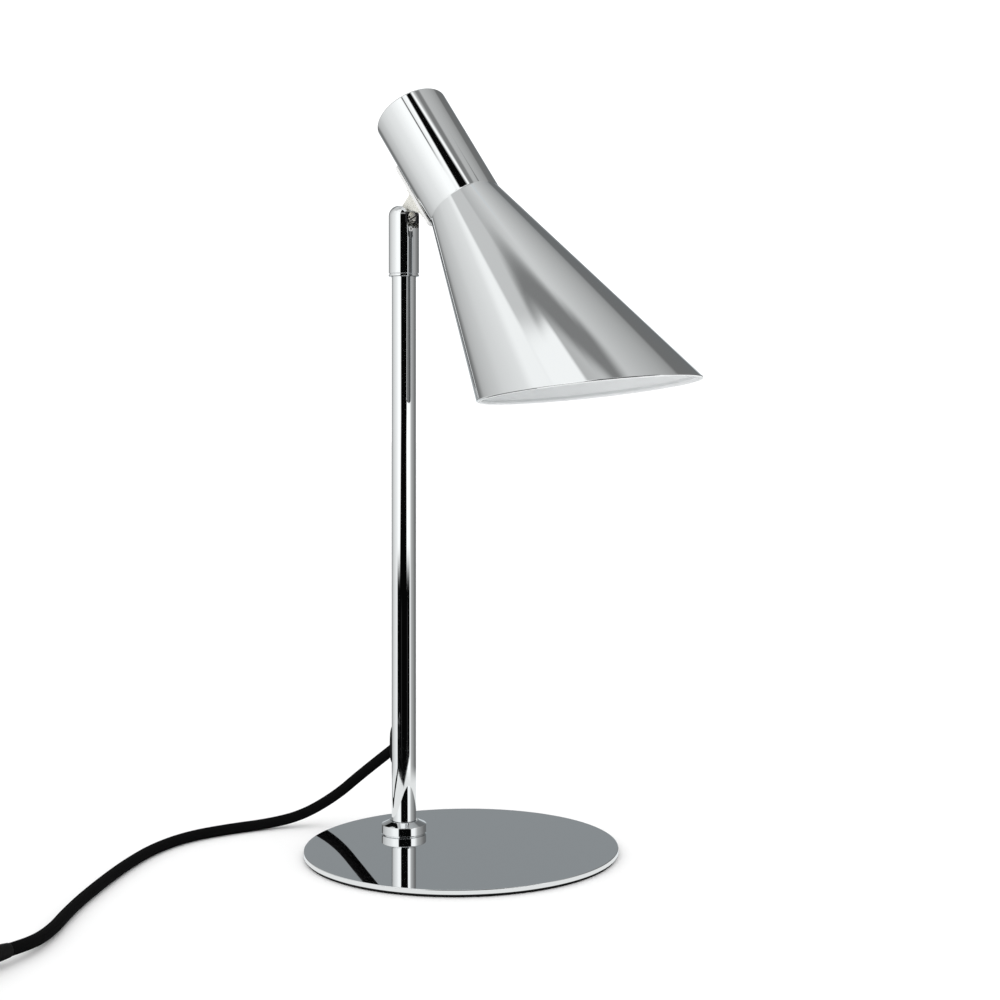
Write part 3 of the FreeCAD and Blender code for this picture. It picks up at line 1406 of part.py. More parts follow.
def cord_coil():
    """The length that is put away: in from the switch, round the coil, and down to the plug."""
    south, north = FreeCAD.Vector(0, -1, 0), FreeCAD.Vector(0, 1, 0)
    outlet = FreeCAD.Vector(*CORD_ROUTE[-1]) + south * size("switch_length")
    start = outlet + south * size("coil_lead_in")
    edges = [Part.LineSegment(outlet, start).toShape()] + biarc(start, south, coil_place(0), south)
    way = south
    for quarter in range(COUNT_TOTAL):
        next_way = north if quarter + 1 == COUNT_TOTAL else coil_way(quarter + 1)
        edges += biarc(coil_place(quarter), way, coil_place(quarter + 1), next_way)
        way = next_way
    leave = coil_place(COUNT_TOTAL)
    arrive = FreeCAD.Vector(leave.x, leave.y + size("tail_length"), size("plug_thickness") / 2)
    edges += biarc(leave, north, arrive, north)
    end = arrive + north * (2 * size("cord_radius"))
    edges.append(Part.LineSegment(arrive, end).toShape())
    piece = tube("cord_coil", edges, outlet, south)
    points = Part.Wire(edges).discretize(Distance=1.5)
    apart = 40
    least = min(
        (point - other).Length
        for number, point in enumerate(points)
        for other in points[number + apart:]
    )
    print(f"cord_coil: least gap to itself {least - 2 * size('cord_radius'):.2f}")
    return piece, end


def coil_tie():
    """A flat band round the coil on its south side."""
    places = [
        coil_place(quarters + aside)
        for quarters in range(1, COUNT_TOTAL, 4)
        for aside in (-TIE_SPREAD, 0, TIE_SPREAD)
    ]
    near, far = max(point.y for point in places), min(point.y for point in places)
    gap = size("cord_radius + tie_clearance")
    low, high = size("tie_thickness"), max(point.z for point in places) + gap
    centre = places[1].x
    inner = Part.makeBox(size("tie_width"), near - far + 2 * gap, high - low,
                         FreeCAD.Vector(centre - size("tie_width") / 2, far - gap, low))
    wall = size("tie_thickness")
    outer = Part.makeBox(size("tie_width"), near - far + 2 * gap + 2 * wall, high - low + 2 * wall,
                         FreeCAD.Vector(centre - size("tie_width") / 2, far - gap - wall, low - wall))
    piece = document.addObject("Part::Feature", "coil_tie")
    piece.Label = "coil_tie"
    piece.Shape = outer.cut(inner)
    return piece


def inner_lead():
    """The lead inside the tube: in through the grommet, round a bend and up to the plug at the top."""
    slope = math.radians(size("exit_slope"))
    inward = FreeCAD.Vector(math.cos(slope), 0, math.sin(slope))
    axis_x = -size("pole_offset")
    outside = FreeCAD.Vector(axis_x - size("pole_radius"), 0, size(f"{DISC_TOP} + exit_height"))
    start = outside - inward * size("grommet_snout")
    corner = outside + inward * (size("pole_radius") / math.cos(slope))
    upward = FreeCAD.Vector(0, 0, 1)
    half = inward.getAngle(upward) / 2
    reach = size("lead_bend") * math.tan(half)
    bisector = (upward - inward).normalize()
    centre = corner + bisector * (size("lead_bend") / math.cos(half))
    first, last = corner - inward * reach, corner + upward * reach
    middle = centre - bisector * size("lead_bend")
    end = FreeCAD.Vector(axis_x, 0, size(f"{DISC_TOP} + pole_height - top_plug_length"))
    edges = [
        Part.LineSegment(start, first).toShape(),
        Part.Arc(first, middle, last).toShape(),
        Part.LineSegment(last, end).toShape(),
    ]
    return tube("inner_lead", edges, start, inward)


# Plug. Its own origin is where the lead meets it, with the pins along +Y.

def plug_body():
    body = new_body("plug_body")
    plan = new_sketch(body, "XY_Plane", "plan_outline")
    back, front = "plug_relief_length", "(plug_relief_length + plug_length)"
    waist = f"({back} + plug_length * plug_waist_share)"
    outline(plan, [
        ("0 - plug_back_width / 2", back),
        ("plug_back_width / 2", back),
        ("plug_width / 2", waist),
        ("plug_width / 2", front),
        ("0 - plug_width / 2", front),
        ("0 - plug_width / 2", waist),
    ])
    pad = padded(body, plan, "block", "plug_thickness", both_ways=True)
    document.recompute()
    flat = [
        f"Edge{number}"
        for number, edge in enumerate(pad.Shape.Edges, 1)
        if edge.BoundBox.ZLength < SAME and edge.BoundBox.YMin < size(front) - SAME
    ]
    bevel = body.newObject("PartDesign::Chamfer", "block_edge")
    bevel.Base = (pad, flat)
    bind(bevel, Size="plug_edge")
    body.Tip = bevel
    return body


def plug_relief():
    """The tapered sleeve that leads the lead into the plug."""
    body = new_body("plug_relief")
    turned(body, "sleeve", [
        ("0", "0"),
        ("cord_radius + plug_relief_wall", "0"),
        ("cord_radius + plug_relief_wall + plug_relief_flare", "plug_relief_length"),
        ("0", "plug_relief_length"),
    ], plane="XY_Plane")
    return body


def plug_pins():
    pins = []
    for number, side in enumerate(("pin_spacing / 2", "0 - pin_spacing / 2"), 1):
        body = new_body(f"plug_pin_{number}")
        front = "(plug_relief_length + plug_length)"
        turned(body, "pin", [
            ("0", front),
            ("pin_radius", front),
            ("pin_radius", f"{front} + pin_length - pin_round", "pin_round", 1),
            ("pin_radius - pin_round", f"{front} + pin_length"),
            ("0", f"{front} + pin_length"),
        ], plane="XY_Plane", aside=(side, "0"))
        pins.append(body)
    return pins


def plug_parts(end):
    """The plug's pieces, at the end of the lead."""
    pins = plug_pins()
    for body in pins:
        body.Placement.Base = end
    pieces = [plug_body(), plug_relief()]
    for body in pieces:
        body.Placement.Base = end
    return pieces + [grouped("plug_pins", pins)]


coil, coil_end = cord_coil()
pole = pole_tube()
PARTS = [
    base_disc(),
    base_pad(),
    base_collar(),
    foot_plug(),
    foot_screw(),
    pole,
    cord_grommet(pole),
    inner_lead(),
    top_plug(),
    stop_pin(),
    swivel_washer(),
    swivel_screw(),
    spring_washer(),
    swivel_cap(),
    hinge_screw(),
    friction_nut(),
    friction_screw(),
    tongue(),
    tongue_rivets(),
    back_plate(),
    plate_spacers(),
    shade(),
    plate_screws(),
    plate_nuts(),
    holder_bracket(),
    holder_nipple(),
    nipple_nut(),
    lamp_holder(),
    holder_sleeve(),
    holder_contact(),
    bulb_cap(),
    bulb_glass(),
    switch_base(),
    switch_cover(),
    switch_screws(),
    rocker(),
    rocker_pivot(),
    cord_run(),
    coil,
    coil_tie(),
] + plug_parts(coil_end)

document.recompute()
faults = [
    f"{thing.Label}: {thing.State}"
    for thing in document.Objects
    if "Invalid" in thing.State or "Error" in thing.State
]
for part in PARTS:
    shape = part.Shape
    if shape.isNull() or not shape.isValid() or not shape.Solids:
        faults.append(f"{part.Label}: its shape is empty or not valid")
if faults:
    raise RuntimeError("; ".join(faults))

os.makedirs("parts", exist_ok=True)
for part in PARTS:
    part.Shape.exportStep(f"parts/{part.Label}.step")
    box = part.Shape.BoundBox
    print(
        f"{part.Label}: {len(part.Shape.Solids)} solids, volume {part.Shape.Volume:.0f},"
        f" X {box.XMin:.1f} to {box.XMax:.1f}, Y {box.YMin:.1f} to {box.YMax:.1f},"
        f" Z {box.ZMin:.1f} to {box.ZMax:.1f}"
    )
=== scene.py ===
# %% [markdown]
# # A chromed desk lamp, dressed piece by piece
# The lamp comes from the workshop as plain solids in their right places. This notebook gives it its looks: the
# mirror chrome, the white enamel under the shade, the woven lead, and the small hardware of the hinge.
# Everything is in metres, in the same frame as the solids, so nothing has to be fitted by eye.

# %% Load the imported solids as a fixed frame
import math

import bmesh
import bpy
from mathutils import Matrix, Vector


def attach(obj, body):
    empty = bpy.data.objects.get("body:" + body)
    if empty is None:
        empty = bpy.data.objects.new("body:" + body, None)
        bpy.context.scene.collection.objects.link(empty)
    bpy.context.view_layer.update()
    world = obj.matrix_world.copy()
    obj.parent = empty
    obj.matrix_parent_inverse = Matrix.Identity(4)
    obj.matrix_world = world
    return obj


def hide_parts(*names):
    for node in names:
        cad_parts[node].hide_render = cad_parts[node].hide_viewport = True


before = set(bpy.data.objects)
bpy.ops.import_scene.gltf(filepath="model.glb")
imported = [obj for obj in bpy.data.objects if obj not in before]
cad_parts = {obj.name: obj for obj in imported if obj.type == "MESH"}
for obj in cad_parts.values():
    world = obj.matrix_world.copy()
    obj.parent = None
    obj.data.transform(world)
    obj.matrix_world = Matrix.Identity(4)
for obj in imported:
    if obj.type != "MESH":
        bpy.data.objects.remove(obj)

for spare in ("Cube", "Light", "Camera"):
    if spare in bpy.data.objects:
        bpy.data.objects.remove(bpy.data.objects[spare])
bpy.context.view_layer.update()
MM = 0.001

# %% [markdown]
# ## The camera
# A product photograph is taken from a little over a metre away with a short telephoto lens, so that the tube
# stays straight and the shade isn't stretched. The camera here looks level, at the height of the shade's rim.
# Looking level keeps every upright edge upright; the picture is then framed with the lens shift, as a view
# camera's is, instead of tilting the whole camera.

# %% The camera
EYE = (0.770, -0.8305, 0.2974)
HEADING = math.radians(40.31)
FOCAL_LENGTH, SENSOR_WIDTH, NEAREST = 63.76, 36, 0.01
FRAME_SHIFT = (-0.0398, -0.1127)


def linked(name, data):
    """A new object with this data, in the scene."""
    made = bpy.data.objects.new(name, data)
    bpy.context.collection.objects.link(made)
    return made


lens = bpy.data.cameras.new("photo_lens")
lens.lens, lens.sensor_width, lens.clip_start = FOCAL_LENGTH, SENSOR_WIDTH, NEAREST
lens.shift_x, lens.shift_y = FRAME_SHIFT
camera = linked("photo_camera", lens)
camera.location = EYE
camera.rotation_euler = (math.radians(90), 0, HEADING)
bpy.context.scene.camera = camera
print("camera height", camera.location.z)

# %% [markdown]
# ## The lead
# A lead is a fixed length of something flexible. It leaves the grommet downwards, bends over, and comes to
# rest on the table in one long lazy curve. A NURBS spline suits this: it needs few points, stays smooth
# between them, and never has the flat spots and corners that bent wire has.
# The lead ends in a rocker switch, and what is left of it goes on to a coil that is tied up beside the lamp.

# %% The lead from the grommet to the switch
LEAD_DIAMETER = 0.007
STEPS_ALONG, STEPS_ROUND = 12, 6
LEAD_ROUTE = [
    (-63.93, 0, 56.79), (-92, 0, 37.5), (-113.5, -2, 20.5), (-130.5, -17.5, 7), (-141, -39.5, 3.5),
    (-150.5, -66, 3.5), (-155.5, -96.5, 3.5), (-148, -128.5, 3.5), (-130, -163, 3.5), (-106.5, -199.5, 3.5),
    (-78.5, -239, 3.5), (-45, -277.5, 4), (-28, -307, 7.5), (-28, -332, 7.5),
]


def lead_along(name, route):
    """One length of lead on a smooth spline through listed points, given in millimetres."""
    line = bpy.data.curves.new(name, "CURVE")
    line.dimensions = "3D"
    spline = line.splines.new("NURBS")
    spline.points.add(len(route) - 1)
    for point, place in zip(spline.points, route):
        point.co = (place[0] * MM, place[1] * MM, place[2] * MM, 1)
    spline.order_u = 3
    spline.use_endpoint_u = True
    spline.resolution_u = STEPS_ALONG
    line.bevel_depth = LEAD_DIAMETER / 2
    line.bevel_resolution = STEPS_ROUND
    line.use_fill_caps = True
    print(name, "points", len(route), "length", round(spline.calc_length(), 4))
    return linked(name, line)


lead_run = lead_along("lead_run", LEAD_ROUTE)

# %% [markdown]
# The coil is wound the way a person winds up a spare lead: round and round beside the lamp, each turn a
# little smaller than the last, then back out on top, and a band holds it. It is still the lead's own spline,
# so its turns are only more points of the same line, 12 to a turn.

# %% The coil
COIL_CENTRE = (-76, -436)
COIL_OUTER, COIL_STEP = 48, 1.9
COIL_FLOOR, COIL_PITCH = 4.1, 7.6
POINTS_PER_QUARTER = 3
QUARTERS_DOWN, QUARTERS_CLIMB, QUARTERS_UP = 10, 2, 10
COIL_INNER = COIL_OUTER - COIL_STEP * QUARTERS_DOWN


def coil_point(quarters):
    """A point of the winding, so many quarter turns after its start."""
    top = QUARTERS_DOWN + QUARTERS_CLIMB
    if quarters <= QUARTERS_DOWN:
        radius, height = COIL_OUTER - COIL_STEP * quarters, COIL_FLOOR
    elif quarters <= top:
        share = (quarters - QUARTERS_DOWN) / QUARTERS_CLIMB
        radius = COIL_INNER - COIL_STEP * (1 - abs(2 * share - 1))
        height = COIL_FLOOR + COIL_PITCH * (1 - math.cos(math.pi * share)) / 2
    else:
        radius, height = COIL_INNER + COIL_STEP * (quarters - top), COIL_FLOOR + COIL_PITCH
    angle = -math.radians(90) * quarters
    return COIL_CENTRE[0] + radius * math.cos(angle), COIL_CENTRE[1] + radius * math.sin(angle), height


# A spline runs inside its control points, so the points of the turns stand a little further out.
REACH = 1 + (1 / math.cos(math.radians(90 / POINTS_PER_QUARTER) / 2) ** 2 - 1) / 2
COIL_ROUTE = [(-28, -388, 7.5), (-28, -396, 7.5), (-28, -404, 7.0), (-28, -420, 4.9)]
for step in range(1, (QUARTERS_DOWN + QUARTERS_CLIMB + QUARTERS_UP) * POINTS_PER_QUARTER):
    *flat, z = coil_point(step / POINTS_PER_QUARTER)
    COIL_ROUTE.append((*(middle + (value - middle) * REACH for middle, value in zip(COIL_CENTRE, flat)), z))
COIL_ROUTE += [(-124.3, -424, 11.4), (-124, -410, 8.4), (-124, -400, 6.8), (-124, -393, 6.8)]
lead_coil = lead_along("lead_coil", COIL_ROUTE)

# %% [markdown]
# ## Finishes
# Chrome is a metal with next to no roughness, so all its looks come from what stands round it. A real plated
# sheet is never optically flat, though: a very weak, broad bump keeps the reflections alive.
# Three functions make all the finishes, one each for metals, mouldings and thread, so that a finish is one line
# with its few numbers.

# %% A short way to write node trees


def plugged(tree, slot, value):
    """Fill an input with a plain value, or join it to a field, a socket or a list of sockets."""
    if isinstance(value, list):
        for one in value:
            plugged(tree, slot, one)
    elif isinstance(value, Field):
        tree.links.new(value.socket, slot)
    elif isinstance(value, bpy.types.NodeSocket):
        tree.links.new(value, slot)
    else:
        slot.default_value = value


def added(tree, kind, inputs=None, out=0, **options):
    """Add a node, set its options, fill its inputs, and give back one of its outputs."""
    node = tree.nodes.new(kind)
    for name, value in options.items():
        setattr(node, name, value)
    for name, value in (inputs or {}).items():
        plugged(tree, node.inputs[name], value)
    return node.outputs[out]


class Field:
    """A socket that can be used in sums: every sum adds a math node to its tree."""

    def __init__(self, tree, socket):
        self.tree, self.socket = tree, socket

    def to(self, operation, *others):
        terms = dict(enumerate((self, *others)))
        return Field(self.tree, added(self.tree, "ShaderNodeMath", terms, operation=operation))

    def __add__(self, other):
        return self.to("ADD", other)

    def __sub__(self, other):
        return self.to("SUBTRACT", other)

    def __mul__(self, other):
        return self.to("MULTIPLY", other)

    def __truediv__(self, other):
        return self.to("DIVIDE", other)

    def __neg__(self):
        return self * -1.0

    def step(self, low, high):
        """0 below low, 1 above high, and a soft rise between them."""
        limits = {"Value": self, "From Min": low, "From Max": high}
        return Field(self.tree, added(
            self.tree, "ShaderNodeMapRange", limits, "Result", interpolation_type="SMOOTHSTEP",
        ))

    def inside(self, low, high, soft_low, soft_high):
        """1 between low and high, with soft borders."""
        rise = self.step(low - soft_low / 2, low + soft_low / 2)
        fall = self.step(high - soft_high / 2, high + soft_high / 2)
        return rise - rise * fall


def parted(tree, vector):
    """The three parts of a vector socket, as fields."""
    node = tree.nodes.new("ShaderNodeSeparateXYZ")
    tree.links.new(vector, node.inputs[0])
    return [Field(tree, socket) for socket in node.outputs]


# %% Helpers for the finishes


def new_finish(name):
    """A material with only its principled shader, as the material, its tree and the shader's inputs."""
    finish = bpy.data.materials.new(name)
    finish.use_nodes = True
    return finish, finish.node_tree, finish.node_tree.nodes["Principled BSDF"].inputs


def object_noise(tree, scale, detail=3):
    """A noise that is fixed to the object, in turns per metre."""
    place = added(tree, "ShaderNodeTexCoord", out="Object")
    return added(tree, "ShaderNodeTexNoise", {"Vector": place, "Scale": scale, "Detail": detail}, "Fac")


NOISE_LOW, NOISE_HIGH = 0.3, 0.7


def between(tree, noise, low, high):
    """Spread the usual range of a noise between two numbers."""
    ends = {"From Min": NOISE_LOW, "From Max": NOISE_HIGH, "To Min": low, "To Max": high}
    return added(tree, "ShaderNodeMapRange", {"Value": noise, **ends}, "Result")


def mixed(tree, share, first, second):
    """A colour between two, where the share is 0 and where it is 1."""
    return added(tree, "ShaderNodeMix", {"A": first, "B": second, "Factor": share}, "Result", data_type="RGBA")


def bumped(tree, shader, height, distance):
    """Lets a height stand out of the surface by so many metres."""
    raised = added(tree, "ShaderNodeBump", {"Distance": distance, "Strength": 1.0, "Height": height}, "Normal")
    plugged(tree, shader["Normal"], raised)


def uneven(tree, shader, scale, roughness, share):
    """A roughness that strays from its middle value by a share of it."""
    smear = object_noise(tree, scale, detail=5)
    plugged(tree, shader["Roughness"], between(tree, smear, roughness * (1 - share), roughness * (1 + share)))


METAL_SMEAR, METAL_UNEVEN = 160, 0.4
COAT_SMEAR, COAT_UNEVEN = 300, 0.1
TINT_SCALE, TINT_SHARE = 60, 0.03
LEAD_PITCH, STRANDS_ROUND, THREAD_RISE = 0.0016, 12, 6e-5
# The thread's colours: painted shade between the strands, and a painted highlight on their crowns.
THREAD_PAINTED_SHADE, THREAD_PAINTED_HIGHLIGHT = (0.0008, 0.0008, 0.0009, 1), (0.0045, 0.0045, 0.0048, 1)
THREAD_SHINE, THREAD_FUZZ = 0.05, 2500


def metal(name, colour, roughness, wave, scale=30):
    """A polished or plated metal with uneven roughness and a broad, very low swell."""
    finish, tree, shader = new_finish(name)
    shader["Metallic"].default_value = 1.0
    shader["Base Color"].default_value = (*colour, 1)
    uneven(tree, shader, METAL_SMEAR, roughness, METAL_UNEVEN)
    bumped(tree, shader, object_noise(tree, scale, detail=2), wave)
    return finish


def moulded(name, colour, roughness, grain=2e-6, scale=1500, shine=0.5):
    """An enamel, plastic or rubber: an almost even colour, and a fine grain that only its gloss shows."""
    finish, tree, shader = new_finish(name)
    darker, lighter = (
        (*(min(part * share, 1) for part in colour), 1) for share in (1 - TINT_SHARE, 1 + TINT_SHARE)
    )
    plugged(tree, shader["Base Color"], mixed(tree, object_noise(tree, TINT_SCALE), darker, lighter))
    uneven(tree, shader, COAT_SMEAR, roughness, COAT_UNEVEN)
    shader["Specular IOR Level"].default_value = shine
    bumped(tree, shader, object_noise(tree, scale, detail=4), grain)
    return finish


def woven(name, length):
    """Braided thread: two sets of strands cross on the lead; their crowns are painted lighter as a painted highlight,
    and the grooves between them darker as painted shade.
    """
    finish, tree, shader = new_finish(name)
    along, around, _ = parted(tree, added(tree, "ShaderNodeUVMap"))
    along, around = along * (length / LEAD_PITCH * math.pi), around * (STRANDS_ROUND * math.pi)
    rising, falling = (along + around).to("SINE"), (along - around).to("SINE")
    over = (rising * falling).step(-0.05, 0.05)
    crown = rising.to("ABSOLUTE") * over + falling.to("ABSOLUTE") * (over * -1.0 + 1.0)
    # The base colour carries a painted highlight on the crowns and painted shade between the strands.
    plugged(tree, shader["Base Color"], mixed(tree, crown, THREAD_PAINTED_SHADE, THREAD_PAINTED_HIGHLIGHT))
    plugged(tree, shader["Roughness"], between(tree, object_noise(tree, THREAD_FUZZ, detail=4), 0.8, 0.95))
    shader["Specular IOR Level"].default_value = THREAD_SHINE
    bumped(tree, shader, crown, THREAD_RISE)
    return finish


# %% The finishes
chrome = metal("mirror_chrome", (0.86, 0.87, 0.88), 0.025, wave=1e-6)
nickel = metal("bright_nickel", (0.75, 0.73, 0.69), 0.10, wave=2e-6)
# Near-black steel for the keyed nut, and painted shade on the walls and floor of the tension screw's slot.
dark_steel_and_slot_shade = metal("burnished_steel", (0.055, 0.055, 0.06), 0.3, wave=4e-6, scale=200)
steel = metal("plain_steel", (0.56, 0.57, 0.58), 0.25, wave=4e-6, scale=200)
brass = metal("raw_brass", (0.80, 0.62, 0.30), 0.2, wave=4e-6, scale=200)
satin_enamel = moulded("cream_enamel", (0.76, 0.755, 0.70), 0.35, grain=1e-6, scale=700)
plate_enamel = moulded("plate_enamel", (0.86, 0.86, 0.85), 0.3, grain=1e-6, scale=700)
# White enamel inside the shade, also given to the downward faces of the rim's bead as a painted reflection of the
# floor.
white_enamel_and_rim_reflection = moulded("white_shade_enamel", (0.86, 0.875, 0.88), 0.45, grain=1e-6, scale=700)
black_plastic = moulded("black_moulding", (0.010, 0.010, 0.011), 0.35, grain=4e-6, scale=2500, shine=0.35)
black_rubber = moulded("black_rubber_skin", (0.005, 0.005, 0.005), 0.6, grain=4e-6, scale=2500, shine=0.15)
holder_resin = moulded("holder_resin", (0.02, 0.02, 0.02), 0.25)
nylon = moulded("white_nylon", (0.75, 0.75, 0.72), 0.5)
opal_glass = moulded("opal_bulb", (0.9, 0.9, 0.88), 0.12, grain=5e-7, scale=400)
textile = woven("woven_lead_run", 0.443)
coil_textile = woven("woven_lead_coil", 1.39)
inner_textile = woven("woven_lead_inner", 0.328)
band_tape = moulded("hook_and_loop_tape", (0.012, 0.012, 0.013), 0.9, grain=1.5e-4, scale=2600, shine=0.1)
SLOT_FINISH = {
    "chrome": chrome, "satin_enamel": satin_enamel, "black_rubber": black_rubber, "black_plastic": black_plastic,
    "steel": steel, "nickel": nickel, "brass": brass, "nylon": nylon, "black_textile": textile,
    "holder_resin": holder_resin, "opal_glass": opal_glass,
}
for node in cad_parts.values():
    for place, old in enumerate(node.data.materials):
        node.material_slots[place].material = SLOT_FINISH[old.name.split(".")[0]]
print("finishes", len(bpy.data.materials))

# %% [markdown]
# ## Turned pieces
# The disc, the collar, the tube and the cap are all turned or drawn, so each is a profile spun round an axis.
# Sharp corners don't exist on polished metal: every corner gets a small arc, and that arc is what catches the
# light. Weighted normals then keep the flats flat, so that the mirror on them isn't bent by the arcs.

# %% Helpers for turned pieces


NEARLY_HALF = 0.49


def with_arcs(corners, steps):
    """A profile of (radius, height, rounding) with each corner cut back to an arc."""
    line = []
    count = len(corners)
    for index, (radius, height, rounding) in enumerate(corners):
        here = Vector((radius, height))
        before = Vector(corners[index - 1][:2]) - here
        after = Vector(corners[(index + 1) % count][:2]) - here
        if rounding == 0 or index in (0, count - 1):
            line.append(here)
            continue
        half = before.angle(after) / 2
        back = min(rounding / math.tan(half), before.length * NEARLY_HALF, after.length * NEARLY_HALF)
        start, end = here + before.normalized() * back, here + after.normalized() * back
        for step in range(steps + 1):
            share = step / steps
            line.append(start * (1 - share) ** 2 + here * (2 * share * (1 - share)) + end * share ** 2)
    return line


def bridged(shape, rings):
    """Faces between neighbouring rings of corners, where a ring of one corner is a pole."""
    for low, high in zip(rings, rings[1:]):
        count = max(len(low), len(high))
        for here in range(count):
            after = (here + 1) % count
            if len(low) == 1:
                shape.faces.new((low[0], high[here], high[after]))
            elif len(high) == 1:
                shape.faces.new((low[here], high[0], low[after]))
            else:
                shape.faces.new((low[here], high[here], high[after], low[after]))


def at(x, y, z):
    """A move to a place in millimetres."""
    return Matrix.Translation(Vector((x, y, z)) * MM)


def meshed(shape, mesh, smooth=True):
    """Write an edited shape into a mesh, and let go of the shape."""
    shape.to_mesh(mesh)
    shape.free()
    if smooth:
        for face in mesh.polygons:
            face.use_smooth = True
    return mesh


def in_metres(shape, name):
    """The mesh of a shape that was drawn in millimetres, with its faces turned outwards."""
    bmesh.ops.recalc_face_normals(shape, faces=shape.faces)
    bmesh.ops.transform(shape, matrix=Matrix.Diagonal((MM, MM, MM, 1)), verts=shape.verts)
    return meshed(shape, bpy.data.meshes.new(name))


def turned_mesh(name, corners, centre=(0, 0), segments=192, steps=6):
    """Spin an open profile round an upright line. Sizes in millimetres."""
    shape = bmesh.new()
    rings = []
    for point in with_arcs(corners, steps):
        turns = [2 * math.pi * segment / segments for segment in range(segments)] if point.x > 1e-9 else [0]
        rings.append([
            shape.verts.new((point.x * math.cos(turn), point.x * math.sin(turn), point.y)) for turn in turns
        ])
    bridged(shape, rings)
    mesh = in_metres(shape, name)
    mesh.transform(at(*centre, 0))
    return mesh


def dressed(name, mesh, finish, body, slot, *nodes):
    """Link a mesh as a piece of the lamp: its finish, the body that it rides on, and the solids it stands for."""
    piece = linked(name, mesh)
    if finish is not None:
        mesh.materials.clear()
        mesh.materials.append(finish)
    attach(piece, body)
    if nodes:
        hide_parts(*nodes)
    return piece


def evaluated(piece):
    """The plain mesh that a piece's modifiers or its curve come to."""
    graph = bpy.context.evaluated_depsgraph_get()
    graph.update()
    return bpy.data.meshes.new_from_object(piece.evaluated_get(graph))


def weighted(piece, sharp=None):
    """Bake weighted normals into the piece's mesh, so that its flats reflect as flats."""
    if sharp is not None:
        edges = bmesh.new()
        edges.from_mesh(piece.data)
        for edge in edges.edges:
            edge.smooth = not (edge.is_manifold and edge.calc_face_angle(0) > math.radians(sharp))
        meshed(edges, piece.data, smooth=False)
    modifier = piece.modifiers.new("flats", "WEIGHTED_NORMAL")
    modifier.mode, modifier.weight, modifier.keep_sharp = "FACE_AREA", 90, True
    baked = evaluated(piece)
    piece.modifiers.remove(modifier)
    piece.data = baked
    print(piece.name, "faces", len(baked.polygons))
    return piece


def turned(name, profile, node, centre=(0, 0), **fineness):
    """A chromed turned piece of the base, in place of its solid."""
    mesh = turned_mesh(name, profile, centre, **fineness)
    return weighted(dressed(name, mesh, chrome, "base", "chrome", node))


# %% The base disc
POLE_X = -51.8
DISC_RADIUS, DISC_LOW, DISC_TOP = 100, 1.6, 4.6
turned("foot_disc", [
    (0, DISC_TOP, 0), (DISC_RADIUS, DISC_TOP, 0.45), (DISC_RADIUS, DISC_LOW, 0.3), (0, DISC_LOW, 0),
], "base_disc", segments=360, steps=8)

# %% The collar round the tube's foot
turned("foot_collar", [
    (8.02, DISC_TOP, 0), (13.9, DISC_TOP, 0.1), (14.0, DISC_TOP + 0.5, 0.1), (14.7, DISC_TOP + 0.7, 0.15),
    (14.7, DISC_TOP + 6, 0.6), (9.7, DISC_TOP + 8.4, 0.5), (9.0, DISC_TOP + 8.4, 0.3), (9.0, DISC_TOP + 7.2, 0.3),
    (8.02, DISC_TOP + 7.2, 0),
], "base_collar", (POLE_X, 0))

# %% The upright tube
TUBE_RADIUS, TUBE_BORE, TUBE_TOP = 8, 6.8, DISC_TOP + 389
turned("upright_tube", [
    (TUBE_BORE, DISC_TOP, 0), (TUBE_RADIUS, DISC_TOP, 0.1), (TUBE_RADIUS, TUBE_TOP, 0.3), (TUBE_BORE, TUBE_TOP, 0.1),
    (TUBE_BORE, TUBE_TOP - 20, 0),
], "pole_tube", (POLE_X, 0))

# %% [markdown]
# ## Growing pieces with Geometry Nodes
# The shade, the screws, the spacers and the sleeves all follow a rule, so each is grown by a tree. Their trees
# begin and end alike, and two of them spin a profile, so these steps are written once, as small functions that
# each add a few nodes. The result is taken as a plain mesh, so that no modifier is left on the piece.

# %% Helpers for trees that grow pieces
ARC_STEPS = 7


def new_tree(name, sizes, others, scale=1.0):
    """A tree with its inputs: gives the tree, the sockets of its inputs, and its sizes as fields."""
    tree = bpy.data.node_groups.new(name, "GeometryNodeTree")
    face = tree.interface
    face.new_socket("Geometry", in_out="OUTPUT", socket_type="NodeSocketGeometry")
    for label, kind in others.items():
        socket = face.new_socket(label, in_out="INPUT", socket_type=f"NodeSocket{kind}")
        if kind == "Int":
            socket.default_value = 1
    for label, value in sizes.items():
        face.new_socket(label, in_out="INPUT", socket_type="NodeSocketFloat").default_value = value
    given = tree.nodes.new("NodeGroupInput").outputs
    fields = {label: Field(tree, given[label]) for label in sizes}
    if scale != 1.0:
        fields = {label: field * scale for label, field in fields.items()}
    return tree, given, fields


def picked(tree, kind, values):
    """For each point, the value that has the point's number."""
    switch = tree.nodes.new("GeometryNodeIndexSwitch")
    switch.data_type = kind
    while len(switch.index_switch_items) < len(values):
        switch.index_switch_items.new()
    for number, value in enumerate((added(tree, "GeometryNodeInputIndex"), *values)):
        plugged(tree, switch.inputs[number], value)
    return switch.outputs[0]


def joined(tree, x=0.0, y=0.0, z=0.0):
    """A vector socket made from numbers or fields."""
    return added(tree, "ShaderNodeCombineXYZ", {"X": x, "Y": y, "Z": z})


